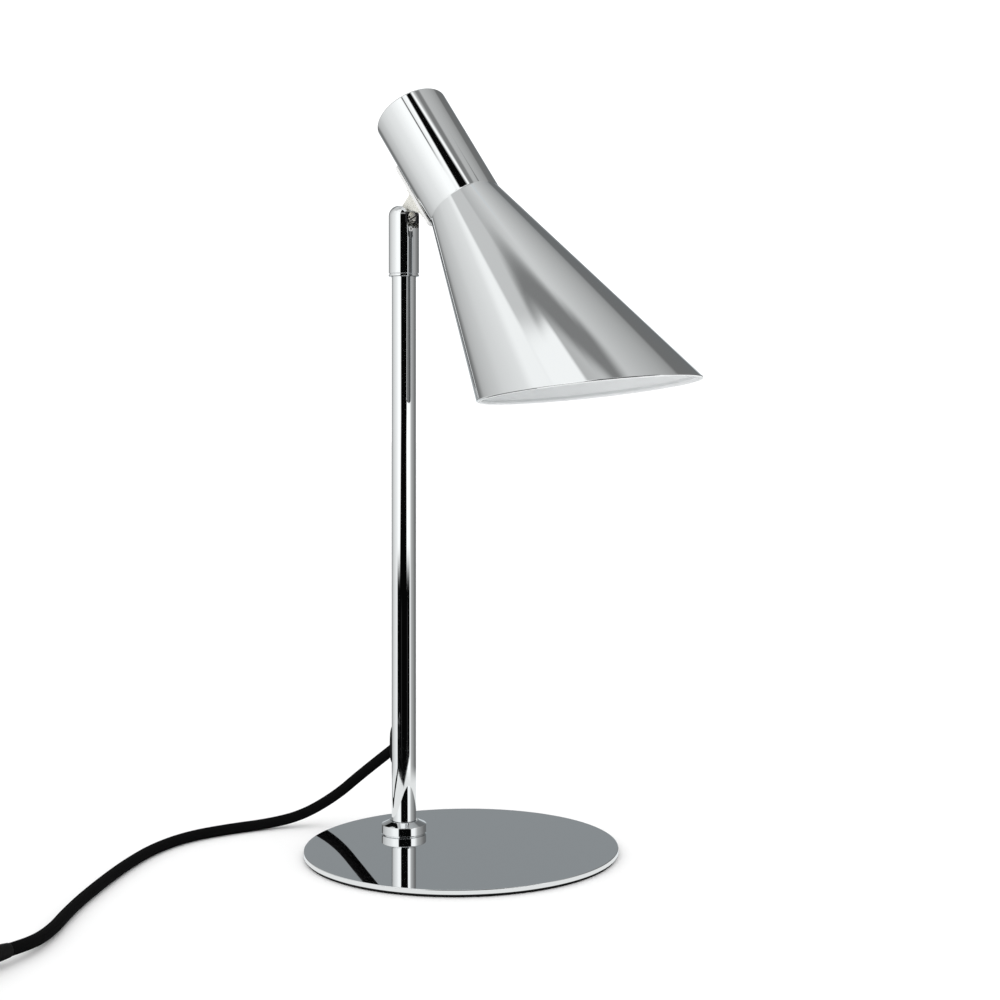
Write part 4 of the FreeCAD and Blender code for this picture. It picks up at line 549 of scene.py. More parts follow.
def spun(tree, corners, roundings, segments):
    """Spin a closed profile of (across, along) round the upright axis, with an arc at each corner."""
    spots = [joined(tree, across, along * -1.0) for across, along in corners]
    line = added(tree, "GeometryNodeMeshLine", {"Count": len(corners)})
    line = added(tree, "GeometryNodeSetPosition", {"Geometry": line, "Position": picked(tree, "VECTOR", spots)})
    line = added(tree, "GeometryNodeMeshToCurve", {"Mesh": line})
    line = added(tree, "GeometryNodeSetSplineCyclic", {"Geometry": line, "Cyclic": True})
    arcs = picked(tree, "FLOAT", [rounding * MM for rounding in roundings])
    line = added(tree, "GeometryNodeFilletCurve", {
        "Curve": line, "Radius": arcs, "Limit Radius": True, "Count": ARC_STEPS,
    }, mode="POLY")
    ring = added(tree, "GeometryNodeCurvePrimitiveCircle", {"Resolution": segments, "Radius": 1e-6})
    return added(tree, "GeometryNodeCurveToMesh", {"Curve": ring, "Profile Curve": line})


def ended(tree, mesh, *coats, smooth=True):
    """The end of a tree: a real mesh, smooth shading, and a material wherever its coat goes."""
    mesh = added(tree, "GeometryNodeRealizeInstances", {"Geometry": mesh})
    if smooth:
        mesh = added(tree, "GeometryNodeSetShadeSmooth", {"Geometry": mesh})
    for where, finish in coats:
        mesh = added(tree, "GeometryNodeSetMaterial", {"Geometry": mesh, "Selection": where, "Material": finish})
    plugged(tree, tree.nodes.new("NodeGroupOutput").inputs["Geometry"], mesh)
    return tree


def grown(name, tree, source=None, **inputs):
    """The plain mesh that a tree makes of a source mesh, with its inputs set by socket."""
    holder = linked(name, source or bpy.data.meshes.new(name))
    modifier = holder.modifiers.new(tree.name, "NODES")
    modifier.node_group = tree
    sockets = {item.name: item.identifier for item in tree.interface.items_tree if item.in_out == "INPUT"}
    for label, value in inputs.items():
        modifier[sockets[label.replace("_", " ").capitalize()]] = value
    mesh = evaluated(holder)
    bpy.data.objects.remove(holder)
    return mesh


def cleaned(mesh, place, weld=5e-6, slivers=True):
    """Set a grown mesh in its place, weld its seams and turn its faces outwards."""
    mesh.transform(place)
    shape = bmesh.new()
    shape.from_mesh(mesh)
    bmesh.ops.remove_doubles(shape, verts=shape.verts, dist=weld)
    if slivers:
        bmesh.ops.dissolve_degenerate(shape, edges=shape.edges, dist=1e-6)
    bmesh.ops.recalc_face_normals(shape, faces=shape.faces)
    return meshed(shape, mesh, smooth=False)


# %% [markdown]
# ## The shade
# The neck and the cone are spun from one sheet, and the cone is then cut by a slanted plane so that its rim
# hangs nearly level. That is a rule, so Geometry Nodes can hold it: a profile is swept round a circle, and each
# point of the cone is then slid along the wall to where the slanted plane cuts it. Change the angle of the cut
# or of the cone, and the whole shade follows.

# %% The tree that makes the shade
SHADE_SIZES = {
    "Neck radius": 24.7 * MM, "Neck length": 80.8 * MM, "Wall": 1.0 * MM, "Lip": 2.6 * MM, "Bead": 2.4 * MM,
    "Cone slope": math.tan(math.radians(13.91)), "Rim distance": 148.8 * MM,
    "Cut slope": math.tan(math.radians(30.26)), "Straight from": -6.0 * MM,
}
SHADE_ARCS = (0.4, 0.4, 1.2, 5.0, 1.1, 1.1, 0.7, 1.0, 4.0, 0.6)
SHADE_SEGMENTS = 320
BEAD_TURN, BEAD_TAIL = 0.8, 1.6
FACES_IN, FACES_DOWN = -0.3, -0.6


def shade_tree():
    """Spin the section of the sheet, then slide the cone's points to the slanted cut, and enamel its inside; the rim
    bead's downward faces get the same white as a painted reflection of the floor.
    """
    tree, given, size = new_tree("spun_shade", SHADE_SIZES, {"Outside": "Material", "Inside": "Material"})
    radius, wall, slope, lip = (size[label] for label in ("Neck radius", "Wall", "Cone slope", "Lip"))
    top, low, bead = size["Neck length"], -size["Rim distance"], size["Bead"]
    spread, inner = radius - low * slope, radius - wall
    sheet = spun(tree, [
        (radius - lip, top - wall), (radius - lip, top), (radius, top), (radius, 0.0), (spread, low),
        (spread - bead, low), (spread - bead - bead * slope * BEAD_TURN, low + bead * BEAD_TURN),
        (spread - wall - bead * slope * BEAD_TAIL, low + bead * BEAD_TAIL), (inner, 0.0), (inner, top - wall),
    ], SHADE_ARCS, SHADE_SEGMENTS)
    x, y, z = parted(tree, added(tree, "GeometryNodeInputPosition"))
    out = (x * x + y * y).to("SQRT")
    cosine = x / out
    start, cut = size["Straight from"], size["Cut slope"]
    root = out + z * slope
    end = -(size["Rim distance"] + cut * root * cosine) / (-(cut * slope * cosine) + 1.0)
    slid = start + (z - start) * (end - start) / (low - start)
    wide = root - slid * slope
    sheet = added(tree, "GeometryNodeSetPosition", {
        "Geometry": sheet, "Selection": z.to("LESS_THAN", start),
        "Position": joined(tree, wide * cosine, wide * (y / out), slid),
    })
    across, aside, upward = parted(tree, added(tree, "GeometryNodeInputNormal"))
    inward = (across * x + aside * y) / out
    # Inward faces get the white enamel; downward faces, on the rim's bead, get the same white as a painted reflection
    # of the floor.
    enamel_and_rim_reflection_faces = inward.to("LESS_THAN", FACES_IN).to("MAXIMUM", upward.to("LESS_THAN", FACES_DOWN))
    return ended(tree, sheet, (True, given["Outside"]), (enamel_and_rim_reflection_faces, given["Inside"]))


# %% The shade in its place on the neck's axis
TILT = 37.33


def turned_by(degrees, axis):
    return Matrix.Rotation(math.radians(degrees), 4, axis)


on_neck = at(3.93, 0, 412.17) @ turned_by(-TILT, "Y")
shade_mesh = grown("spun_shade", shade_tree(), outside=chrome, inside=white_enamel_and_rim_reflection)
shade_mesh = cleaned(shade_mesh, on_neck, weld=1e-6, slivers=False)
weighted(dressed("spun_shade", shade_mesh, None, "head", "chrome", "shade"))

# %% [markdown]
# ## The swivel cap
# The cap is turned from solid bar: a sleeve over the tube, with a round shoulder. A slot is then milled into its
# mouth, and the tongue of the head tilts in that slot. Cutting the turned form with exact booleans copies what
# the mill does. Such a cut leaves long thin faces, which would bend a mirror, so the round faces then get the
# normals of the true surface instead of averaged ones.

# %% Helpers for milled pieces


def prism(outline, low, high, axis="X"):
    """A straight block with the given outline; its length runs along one axis. Sizes in millimetres."""
    shape = bmesh.new()
    ends = []
    for along in (low, high):
        corners = [list(corner) for corner in outline]
        for corner in corners:
            corner.insert("XYZ".index(axis), along)
        ends.append([shape.verts.new(corner) for corner in corners])
        shape.faces.new(ends[-1])
    for here in range(len(outline)):
        after = (here + 1) % len(outline)
        shape.faces.new((ends[0][here], ends[0][after], ends[1][after], ends[1][here]))
    return in_metres(shape, "prism")


def circle_of(radius, centre, count=48):
    turns = [2 * math.pi * step / count for step in range(count)]
    return [(centre[0] + radius * math.cos(turn), centre[1] + radius * math.sin(turn)) for turn in turns]


def arc(centre, radius, start, end, step=10):
    """Points on an arc, one every so many degrees."""
    turns = [math.radians(turn) for turn in range(start, end + 1, step)]
    return [(centre[0] + radius * math.cos(turn), centre[1] + radius * math.sin(turn)) for turn in turns]


def carved(name, mesh, *cutters):
    """Cut shapes out of a mesh with exact booleans, and return the plain mesh that is left."""
    work = linked(name, mesh)
    tools = [linked(f"{name}_cutter_{number}", cutter) for number, cutter in enumerate(cutters)]
    for tool in tools:
        cut = work.modifiers.new(tool.name, "BOOLEAN")
        cut.operation, cut.solver, cut.object = "DIFFERENCE", "EXACT", tool
    left = evaluated(work)
    for spent in (work, *tools):
        bpy.data.objects.remove(spent)
    left.name = name
    return left


def eased(mesh, width, sharper=35, segments=2, where=None):
    """Break the sharp edges of a mesh by so many millimetres, as polishing or moulding does."""
    shape = bmesh.new()
    shape.from_mesh(mesh)
    bmesh.ops.remove_doubles(shape, verts=shape.verts, dist=1e-6)
    bmesh.ops.dissolve_limit(shape, angle_limit=math.radians(1), verts=shape.verts, edges=shape.edges)
    bmesh.ops.recalc_face_normals(shape, faces=shape.faces)
    edges = [
        edge for edge in shape.edges
        if edge.is_manifold and edge.calc_face_angle(0) > math.radians(sharper)
        and (where is None or where((edge.verts[0].co + edge.verts[1].co) / 2))
    ]
    bmesh.ops.bevel(
        shape, geom=edges, offset=width * MM, offset_type="OFFSET", segments=segments, profile=0.5,
        affect="EDGES", clamp_overlap=True,
    )
    bmesh.ops.triangulate(shape, faces=[face for face in shape.faces if len(face.verts) > 4])
    return meshed(shape, mesh)


SAME_SIDE = 0.8


def trued(piece, exact_normal):
    """Give the round faces of a piece the normals of the true surface."""
    mesh = piece.data
    normals = [tuple(corner.vector) for corner in mesh.corner_normals]
    for face in mesh.polygons:
        for corner in face.loop_indices:
            exact = exact_normal(mesh.vertices[mesh.loops[corner].vertex_index].co)
            if exact is not None and face.normal.dot(exact) > SAME_SIDE:
                normals[corner] = tuple(exact)
    mesh.normals_split_custom_set(normals)


# %% The cap, turned and then milled
CAP_LOW, CAP_HIGH, CAP_RADIUS, CAP_ROUND = 370.0, 416.8, 10.0, 7.0
CAP_FLOOR, CAP_BORE, CAP_EASE = 395.7, 8.06, 0.4
CAP_LINE, LINE_DEPTH, LINE_WIDTH = CAP_LOW + 1.5, 0.55, 0.8
SLOT_FLOOR, SLOT_BACK, SLOT_HALF, SLOT_ROUND = 401.6, POLE_X - 6.9, 5.5, 3.0
SEAT_RADIUS, SEAT_LOW, HEAD_RADIUS, PIN_HOLE = 5.25, 399.1, 3.35, 1.85
HEAD_DEPTH, PIN_REACH = (8.0, 11), 8.5
HINGE_Z = 407.9
FRICTION_Z = HINGE_Z + 0.8
KEY_HALF, KEY_RISE, KEY_BACK, PAST_CAP = 6.35, 3.5, POLE_X + 4.95, POLE_X + 12
core = CAP_RADIUS - CAP_ROUND
shoulder = [(*point, 0) for point in arc((core, CAP_HIGH - CAP_ROUND), CAP_ROUND, 0, 90, 5)]
groove = CAP_RADIUS - LINE_DEPTH
cap_turned = turned_mesh("milled_cap", [
    (0, CAP_FLOOR, 0), (CAP_BORE, CAP_FLOOR, 0), (CAP_BORE, CAP_LOW, 0), (CAP_RADIUS - CAP_EASE, CAP_LOW, 0),
    (CAP_RADIUS, CAP_LOW + CAP_EASE, 0.2), (CAP_RADIUS, CAP_LINE, 0.1), (groove, CAP_LINE + 0.1, 0.2),
    (groove, CAP_LINE + LINE_WIDTH - 0.1, 0.2), (CAP_RADIUS, CAP_LINE + LINE_WIDTH, 0.1), *shoulder, (0, CAP_HIGH, 0),
], (POLE_X, 0), segments=256)
slot_outline = [
    (SLOT_HALF, CAP_HIGH + 2), (-SLOT_HALF, CAP_HIGH + 2),
    *arc((SLOT_ROUND - SLOT_HALF, SLOT_FLOOR + SLOT_ROUND), SLOT_ROUND, 180, 270),
    *arc((SLOT_HALF - SLOT_ROUND, SLOT_FLOOR + SLOT_ROUND), SLOT_ROUND, 270, 360),
]
key_low, key_high = FRICTION_Z - KEY_RISE, FRICTION_Z + KEY_RISE
key_outline = [(-KEY_HALF, key_low), (KEY_HALF, key_low), (KEY_HALF, key_high), (-KEY_HALF, key_high)]
cap_mesh = carved(
    "milled_cap", cap_turned, prism(slot_outline, SLOT_BACK, PAST_CAP), prism(key_outline, KEY_BACK, PAST_CAP),
    prism(circle_of(SEAT_RADIUS, (POLE_X, 0)), SEAT_LOW, SLOT_FLOOR + 0.5, "Z"),
    prism(circle_of(HEAD_RADIUS, (POLE_X, HINGE_Z)), *HEAD_DEPTH, "Y"),
    prism(circle_of(PIN_HOLE, (POLE_X, HINGE_Z)), -PIN_REACH, PIN_REACH, "Y"),
)
print("cap faces", len(cap_mesh.polygons))


def cap_normal(spot):
    """The true normal of the cap's outside at a spot on it, or nothing where the spot is elsewhere."""
    out = Vector((spot.x / MM - POLE_X, spot.y / MM, 0))
    above = spot.z / MM - (CAP_HIGH - CAP_ROUND)
    if above <= 0.01:
        on_side = abs(out.length - CAP_RADIUS) < 0.02 and spot.z / MM > CAP_LOW + CAP_EASE - 0.01
        return out.normalized() if on_side else None
    reach = out - out.normalized() * core + Vector((0, 0, above))
    if out.length >= core and abs(reach.length - CAP_ROUND) < 0.05:
        return reach.normalized()
    return Vector((0, 0, 1)) if abs(above - CAP_ROUND) < 0.02 else None


cap_mesh = eased(cap_mesh, 0.22, sharper=40, where=lambda spot: spot.z > (SEAT_LOW + 0.4) * MM)
trued(weighted(dressed("milled_cap", cap_mesh, chrome, "cap", "chrome", "swivel_cap"), sharp=30), cap_normal)

# %% [markdown]
# ## Fasteners
# Rivets and screws are all the same idea: a profile spun round its own axis, with or without a slot for the
# driver, set out in rows. One Geometry Nodes tree makes every kind here, and only its numbers change. The tree
# spins the profile, cuts the slot with a block, and puts a copy on each point of a small grid.

# %% The fastener tree
FASTENER_SIZES = {
    "Head radius": 2.0, "Head height": 1.0, "Rim height": 0.4, "Shank radius": 1.2, "Shank length": 3.0,
    "Slot width": 0.0, "Slot depth": 0.8, "Slot turn": 0.0, "Column gap": 5.0, "Row gap": 5.0,
}
FASTENER_ARCS = (0, 0.15, 0.1, 0.1, 0.5, 2.0, 0)
FASTENER_SEGMENTS = 40
NEAR_AXIS, CROWN_OUT, CROWN_UP = 0.002, 0.62, 0.9


def cut_by(tree, mesh, tool):
    """What an exact boolean leaves of a mesh."""
    return added(tree, "GeometryNodeMeshBoolean", {"Mesh 1": mesh, "Mesh 2": tool}, operation="DIFFERENCE",
                 solver="EXACT")


def copied(tree, points, piece):
    """A real copy of a piece on every point."""
    copies = added(tree, "GeometryNodeInstanceOnPoints", {"Points": points, "Instance": piece})
    return added(tree, "GeometryNodeRealizeInstances", {"Geometry": copies})


def fastener_tree():
    """Spin a head on a shank, cut its slot with a block, and set copies of it out on a small grid."""
    tree, given, size = new_tree(
        "fastener", FASTENER_SIZES, {"Columns": "Int", "Rows": "Int", "Finish": "Material"}, MM,
    )
    head, tall, rim = size["Head radius"], size["Head height"], size["Rim height"]
    shank, long = size["Shank radius"], size["Shank length"]
    body = spun(tree, [
        (head * NEAR_AXIS, -long), (shank, -long), (shank, 0.0), (head, 0.0), (head, rim),
        (head * CROWN_OUT, tall * CROWN_UP), (head * NEAR_AXIS, tall),
    ], FASTENER_ARCS, FASTENER_SEGMENTS)
    block = added(tree, "GeometryNodeMeshCube", {
        "Size": joined(tree, head * 3.0, size["Slot width"], size["Slot depth"] * 2.0),
    })
    turn = Field(tree, given["Slot turn"]) * math.radians(1)
    block = added(tree, "GeometryNodeTransform", {
        "Geometry": block, "Translation": joined(tree, z=tall), "Rotation": joined(tree, z=turn),
    })
    slotted = added(tree, "GeometryNodeSwitch", {
        "Switch": size["Slot width"].to("GREATER_THAN", 1e-6), "False": body, "True": cut_by(tree, body, block),
    }, input_type="GEOMETRY")
    columns, rows = Field(tree, given["Columns"]), Field(tree, given["Rows"])
    points = added(tree, "GeometryNodeMeshLine", {"Count": columns * rows})
    number = Field(tree, added(tree, "GeometryNodeInputIndex"))
    row = (number / columns + 1e-4).to("FLOOR")
    column = number - row * columns
    across = (column - (columns - 1.0) * 0.5) * size["Column gap"]
    along = (row - (rows - 1.0) * 0.5) * size["Row gap"]
    points = added(tree, "GeometryNodeSetPosition", {"Geometry": points, "Position": joined(tree, across, along)})
    return ended(tree, copied(tree, points, slotted), (True, given["Finish"]))


fasteners = fastener_tree()


def fastened(name, place, finish, body, slot, nodes, **sizes):
    """One set of fasteners: grown by the tree, put in place, and dressed as a piece."""
    mesh = cleaned(grown(name, fasteners, finish=finish, **sizes), place)
    return weighted(dressed(name, mesh, None, body, slot, *nodes), sharp=40)


# %% The screws and rivets of the hinge
on_hinge = at(POLE_X, 0, HINGE_Z) @ turned_by(-TILT, "Y")


def hinge_spot(across, along):
    """A place facing the pole: so far out from the hinge, and so far up along the neck."""
    return on_hinge @ at(across, 0, along) @ turned_by(-90, "Y")


fastened(
    "flange_rivets", hinge_spot(17.5, -2.2), nickel, "head", "steel", ("tongue_rivets",), head_radius=1.9,
    head_height=0.7, rim_height=0.15, shank_radius=1.2, shank_length=4.1, columns=2, rows=2, column_gap=15.2,
    row_gap=7.4,
)
fastened(
    "neck_screws", hinge_spot(19.1, 0.3), nickel, "head", "nickel", ("plate_screws",), head_radius=3.6,
    head_height=2.2, rim_height=0.9, shank_radius=2.0, shank_length=9.2, slot_width=0.9, slot_depth=0.8,
    slot_turn=90.0, columns=2, rows=1, column_gap=37.4,
)
tension_place = at(POLE_X + 7.2, 0, FRICTION_Z) @ turned_by(90, "Y")
TENSION_TALL, TENSION_SLOT_WIDTH, TENSION_SLOT_DEPTH, TENSION_TURN = 2.0, 0.9, 0.8, 118.0
tension_screw = fastened(
    "tension_screw", tension_place, nickel, "cap", "nickel", ("friction_screw",), head_radius=3.7,
    head_height=TENSION_TALL, rim_height=0.6, shank_radius=1.5, shank_length=2.6, slot_width=TENSION_SLOT_WIDTH,
    slot_depth=TENSION_SLOT_DEPTH, slot_turn=TENSION_TURN,
)

# %% [markdown]
# The walls and floor of the slot get a near-black steel as painted shade, so that the slot shows from afar. The faces
# of the slot are found in the screw's own frame, and only they get the painted shade.

# %% Painted shade in the slot of the screw in the hinge
along_slot = turned_by(-TENSION_TURN, "Z") @ tension_place.inverted()
dark = len(tension_screw.data.materials)
tension_screw.data.materials.append(dark_steel_and_slot_shade)
for face in tension_screw.data.polygons:
    spot = (along_slot @ face.center) / MM
    if abs(spot.y) < TENSION_SLOT_WIDTH / 2 + 0.01 and spot.z > TENSION_TALL - TENSION_SLOT_DEPTH - 0.05:
        face.material_index = dark
print("dark slot faces", sum(face.material_index == dark for face in tension_screw.data.polygons))

# %% [markdown]
# ## The tongue and its plate
# These are punched from sheet and enamelled. Their solids already have the right outline, so a copy of each is
# welded, its flats are joined up again, and its edges are broken by a third of a millimetre, which is what
# enamel does to a sheared edge. Without that, an edge has no highlight and a part looks like cardboard.

# %% Copies of solids with broken edges


def softened(node, name, finish, width, body, slot, segments=2):
    """A welded copy of a solid, with its sharp edges eased, in place of the solid."""
    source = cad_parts[node].data.copy()
    source.name = name
    return weighted(dressed(name, eased(source, width, segments=segments), finish, body, slot, node), sharp=32)


softened("tongue", "hinge_tongue", satin_enamel, 0.3, "head", "satin_enamel")
softened("back_plate", "neck_plate", plate_enamel, 0.35, "head", "satin_enamel", segments=3)
softened("friction_nut", "keyed_nut", dark_steel_and_slot_shade, 0.3, "cap", "steel")

# %% [markdown]
# ## The ribbed spacers
# Between the flat plate and the round neck sit two moulded blocks with fine ribs down their sides. A rib every
# millimetre and a quarter is a rule, so a tree sets them out along a line, and cuts the round seat out of all.

# %% The spacer tree
SPACER_SIZES = {
    "Length": 20.0, "Width": 13.9, "Thick": 1.5, "Pitch": 1.25, "Rib": 0.65, "Rib depth": 0.5, "Seat": 24.7,
}
SEAT_SINK, SEAT_SEGMENTS = 0.9, 256


def spacer_tree():
    """A block with ribs set out along a rail, and the neck's round seat cut out of it."""
    tree, given, size = new_tree("ribbed_spacer", SPACER_SIZES, {"Finish": "Material"}, MM)
    long, thick, pitch, deep, seat = (size[label] for label in ("Length", "Thick", "Pitch", "Rib depth", "Seat"))

    def block(wide, tall):
        return added(tree, "GeometryNodeMeshCube", {"Size": joined(tree, thick, wide, tall)})

    count = (long / pitch).to("FLOOR")
    rail = added(tree, "GeometryNodeMeshLine", {
        "Count": count, "Offset": joined(tree, z=pitch),
        "Start Location": joined(tree, z=(count - 1.0) * pitch * -0.5),
    })
    ribs = copied(tree, rail, block(size["Width"] + deep, size["Rib"]))
    neck = added(tree, "GeometryNodeMeshCylinder", {"Vertices": SEAT_SEGMENTS, "Radius": seat, "Depth": long * 2.0})
    neck = added(tree, "GeometryNodeTransform", {
        "Geometry": neck, "Translation": joined(tree, seat + thick * 0.5 - SEAT_SINK * MM),
    })
    whole = added(tree, "GeometryNodeMeshBoolean", {"Mesh 2": [block(size["Width"] - deep, long), ribs]},
                  operation="UNION", solver="EXACT")
    return ended(tree, cut_by(tree, whole, neck), (True, given["Finish"]), smooth=False)


ribbed = spacer_tree()
SPACER_MIDDLE = 21.6 + 0.75
for name, low, length in (("lower_spacer", -21.5, 20.0), ("upper_spacer", 14.0, 10.0)):
    place = on_hinge @ at(SPACER_MIDDLE, 0, low + length / 2)
    mesh = cleaned(grown(name, ribbed, finish=black_plastic, length=length), place)
    weighted(dressed(name, mesh, None, "head", "black_plastic", "plate_spacers"), sharp=30)

# %% [markdown]
# ## The grommet
# Where the lead leaves the tube, a rubber grommet keeps the sheet edge off it. Outside it is an oval saddle that
# hugs the tube, with a thicker bead round its rim. Such a form is easiest to write down flat, as ovals with a
# height above the sheet, and then to roll round the tube, as the real rubber does when it is pushed in.

# %% The grommet, rolled round the tube
EXIT_Z, SADDLE_Z = 59.6, 61.6
EXIT_SLOPE = math.radians(34.2)
LEAD_RADIUS = LEAD_DIAMETER / MM / 2
LEAD_OVAL = (LEAD_RADIUS, LEAD_RADIUS / math.cos(EXIT_SLOPE))
# Ovals from the rim inwards and back behind the sheet: half width, half height, height above the tube's face.
SADDLE_OVALS = [
    (5.75, 13.0, 0.0), (5.85, 13.15, 0.45), (5.7, 13.0, 1.0), (5.3, 12.6, 1.4), (4.9, 12.2, 1.45), (4.5, 11.7, 1.3),
    (4.3, 11.3, 1.1), (4.2, 11.0, 1.05),
]
# The same round the hole, where the first two are what they add to the lead's own oval.
HOLE_OVALS = [
    (0.5, 0.9, 1.05), (0.1, 0.1, 1.0), (0.0, 0.0, 0.7), (0.0, 0.0, -2.0), (1.7, 2.0, -2.0), (1.7, 2.0, -1.25),
    (1.05, 1.3, -1.25), (1.05, 1.3, 0.0),
]


def rolled(across, up, above):
    """A point of the flat pattern, rolled round the tube's back."""
    turn, reach = across / TUBE_RADIUS, TUBE_RADIUS + above
    return POLE_X - reach * math.cos(turn), reach * math.sin(turn), up


def saddle_mesh(name, segments=96):
    """The ovals, rolled and joined up into a closed ring."""
    ovals = [(wide, tall, above, SADDLE_Z) for wide, tall, above in SADDLE_OVALS]
    for wide, tall, above in HOLE_OVALS:
        ovals.append((LEAD_OVAL[0] + wide, LEAD_OVAL[1] + tall, above, EXIT_Z - above * math.tan(EXIT_SLOPE)))
    shape = bmesh.new()
    turns = [2 * math.pi * step / segments for step in range(segments)]
    rings = [
        [shape.verts.new(rolled(wide * math.cos(turn), middle + tall * math.sin(turn), above)) for turn in turns]
        for wide, tall, above, middle in ovals
    ]
    bridged(shape, rings + rings[:1])
    return in_metres(shape, name)


weighted(dressed("oval_grommet", saddle_mesh("oval_grommet"), black_rubber, "base", "black_rubber", "cord_grommet"))

# %% [markdown]
# ## The lead inside the tube
# Behind the grommet the lead bends upwards and runs up the tube. Only its first centimetre shows, but it is the
# same lead, so it is drawn in the same way and then made a mesh, since it is no longer free to move.

# %% The lead inside the tube
INNER_ROUTE = [
    (-63.93, 0, 56.79), (-58.5, 0, 60.48), (POLE_X, 0, 65.04), (POLE_X, 0, 75), (POLE_X, 0, 120), (POLE_X, 0, 379.6),
]
inner_line = lead_along("inner_line", INNER_ROUTE)
inner_mesh = evaluated(inner_line)
bpy.data.objects.remove(inner_line)
dressed("tube_lead", inner_mesh, inner_textile, "base", "black_textile", "inner_lead")
print("tube lead faces", len(inner_mesh.polygons))

# %% [markdown]
# ## The sleeves where the lead enters the switch and the plug
# A lead breaks where it enters something hard, so a soft sleeve that grows thinner spreads the bend over a few
# centimetres. Its rings let it flex. A sleeve follows the lead's own line: the tree trims that line to a length,
# sets a radius along it that falls from the housing to the tip, and dips it at every ring.

# %% The sleeve tree
SLEEVE_SIZES = {"Start": 0.0, "Length": 24.0, "First radius": 5.4, "Last radius": 4.2, "Pitch": 2.6, "Dip": 0.45}
SLEEVE_STEPS, SLEEVE_SEGMENTS = 200, 48
TIP_RADIUS = 3.55
RING_EDGE, RINGED_PART, RINGS_ABOVE = (0.1, 0.6), (0.08, 0.92, 0.02, 0.02), (4.3 * MM, 4.8 * MM)
BLUNT_PART, BLUNTED = 0.03, 0.5


def sleeve_tree():
    """Trim a line to the sleeve's length, and sweep a circle along it that grows thinner and dips at every ring."""
    tree, given, size = new_tree("ringed_sleeve", SLEEVE_SIZES, {"Line": "Geometry", "Finish": "Material"}, MM)
    line = added(tree, "GeometryNodeMeshToCurve", {"Mesh": given["Line"]})
    start, first, last = size["Start"], size["First radius"], size["Last radius"]
    line = added(tree, "GeometryNodeTrimCurve", {0: line, 4: start, 5: start + size["Length"]}, mode="LENGTH")
    line = added(tree, "GeometryNodeResampleCurve", {"Count": SLEEVE_STEPS, "Curve": line})
    spot = tree.nodes.new("GeometryNodeSplineParameter")
    share, along = Field(tree, spot.outputs["Factor"]), Field(tree, spot.outputs["Length"])
    swell = first + (last - first) * share
    wave = (along / size["Pitch"] * (2 * math.pi)).to("COSINE").step(*RING_EDGE)
    ring = wave * share.inside(*RINGED_PART) * swell.step(*RINGS_ABOVE)
    blunt = share.step(BLUNT_PART, 0.0) + share.step(1 - BLUNT_PART, 1.0)
    radius = swell - ring * size["Dip"] - blunt * (swell - TIP_RADIUS * MM) * BLUNTED
    section = added(tree, "GeometryNodeCurvePrimitiveCircle", {"Resolution": SLEEVE_SEGMENTS, "Radius": 1.0})
    swept = added(tree, "GeometryNodeCurveToMesh", {
        "Fill Caps": True, "Curve": line, "Scale": radius, "Profile Curve": section,
    })
    return ended(tree, swept, (True, given["Finish"]))


sleeves = sleeve_tree()


def sleeved(name, line, nodes=(), **sizes):
    """A sleeve on a line, in place."""
    mesh = cleaned(grown(name, sleeves, line, finish=black_rubber, **sizes), Matrix.Identity(4))
    return weighted(dressed(name, mesh, None, "base", "black_rubber", *nodes), sharp=50)


# %% The three sleeves
SLEEVE_LENGTH, SLEEVE_TIP, SLEEVE_ROOT = 21.0, 3.8, 5.6
PLUG_X, PLUG_Z, PLUG_BACK, PLUG_FRONT, RELIEF_END = -124.0, 6.8, -371.0, -335.0, -393.0


def middle_line(lead):
    """The line in the middle of a lead, as a mesh of edges."""
    lead.data.bevel_depth = 0
    mesh = evaluated(lead)
    lead.data.bevel_depth = LEAD_DIAMETER / 2
    return mesh


def line_length(line):
    return sum((line.vertices[a].co - line.vertices[b].co).length for a, b in (edge.vertices for edge in line.edges))


run_line, coil_line = middle_line(lead_run), middle_line(lead_coil)
inlet_sleeve = sleeved(
    "inlet_sleeve", run_line, start=line_length(run_line) / MM - SLEEVE_LENGTH, length=SLEEVE_LENGTH,
    first_radius=SLEEVE_TIP, last_radius=SLEEVE_ROOT,
)
outlet_sleeve = sleeved(
    "outlet_sleeve", coil_line, length=SLEEVE_LENGTH, first_radius=SLEEVE_ROOT, last_radius=SLEEVE_TIP,
)
plug_line = bpy.data.meshes.new("plug_line")
plug_line.from_pydata([Vector((PLUG_X, y, PLUG_Z)) * MM for y in (PLUG_BACK, RELIEF_END)], [(0, 1)], [])
plug_sleeve = sleeved(
    "plug_sleeve", plug_line, ("plug_relief",), length=PLUG_BACK - RELIEF_END, first_radius=6.7, last_radius=4.7,
)

# %% [markdown]
# ## The switch and the plug
# Both are moulded: two shells and a rocker, and one solid grip. Moulded parts have soft edges because the tool
# that makes them is milled, so their solids are copied and eased by about a millimetre.

# %% The switch
switch_tray = softened("switch_base", "switch_tray", black_plastic, 0.7, "base", "black_plastic", segments=3)
switch_lid = softened("switch_cover", "switch_lid", black_plastic, 0.7, "base", "black_plastic", segments=3)
switch_rocker = softened("rocker", "rocker_key", black_plastic, 0.35, "switch_key", "black_plastic", segments=3)
fastened(
    "tray_screws", at(-22, -360, 2.2) @ turned_by(180, "X"), nickel, "base", "steel", ("switch_screws",),
    head_radius=2.55, head_height=1.5, rim_height=1.1, shank_radius=1.35, shank_length=6.8, slot_width=0.7,
    slot_depth=0.7, slot_turn=35.0, columns=1, rows=2, row_gap=40.0,
)

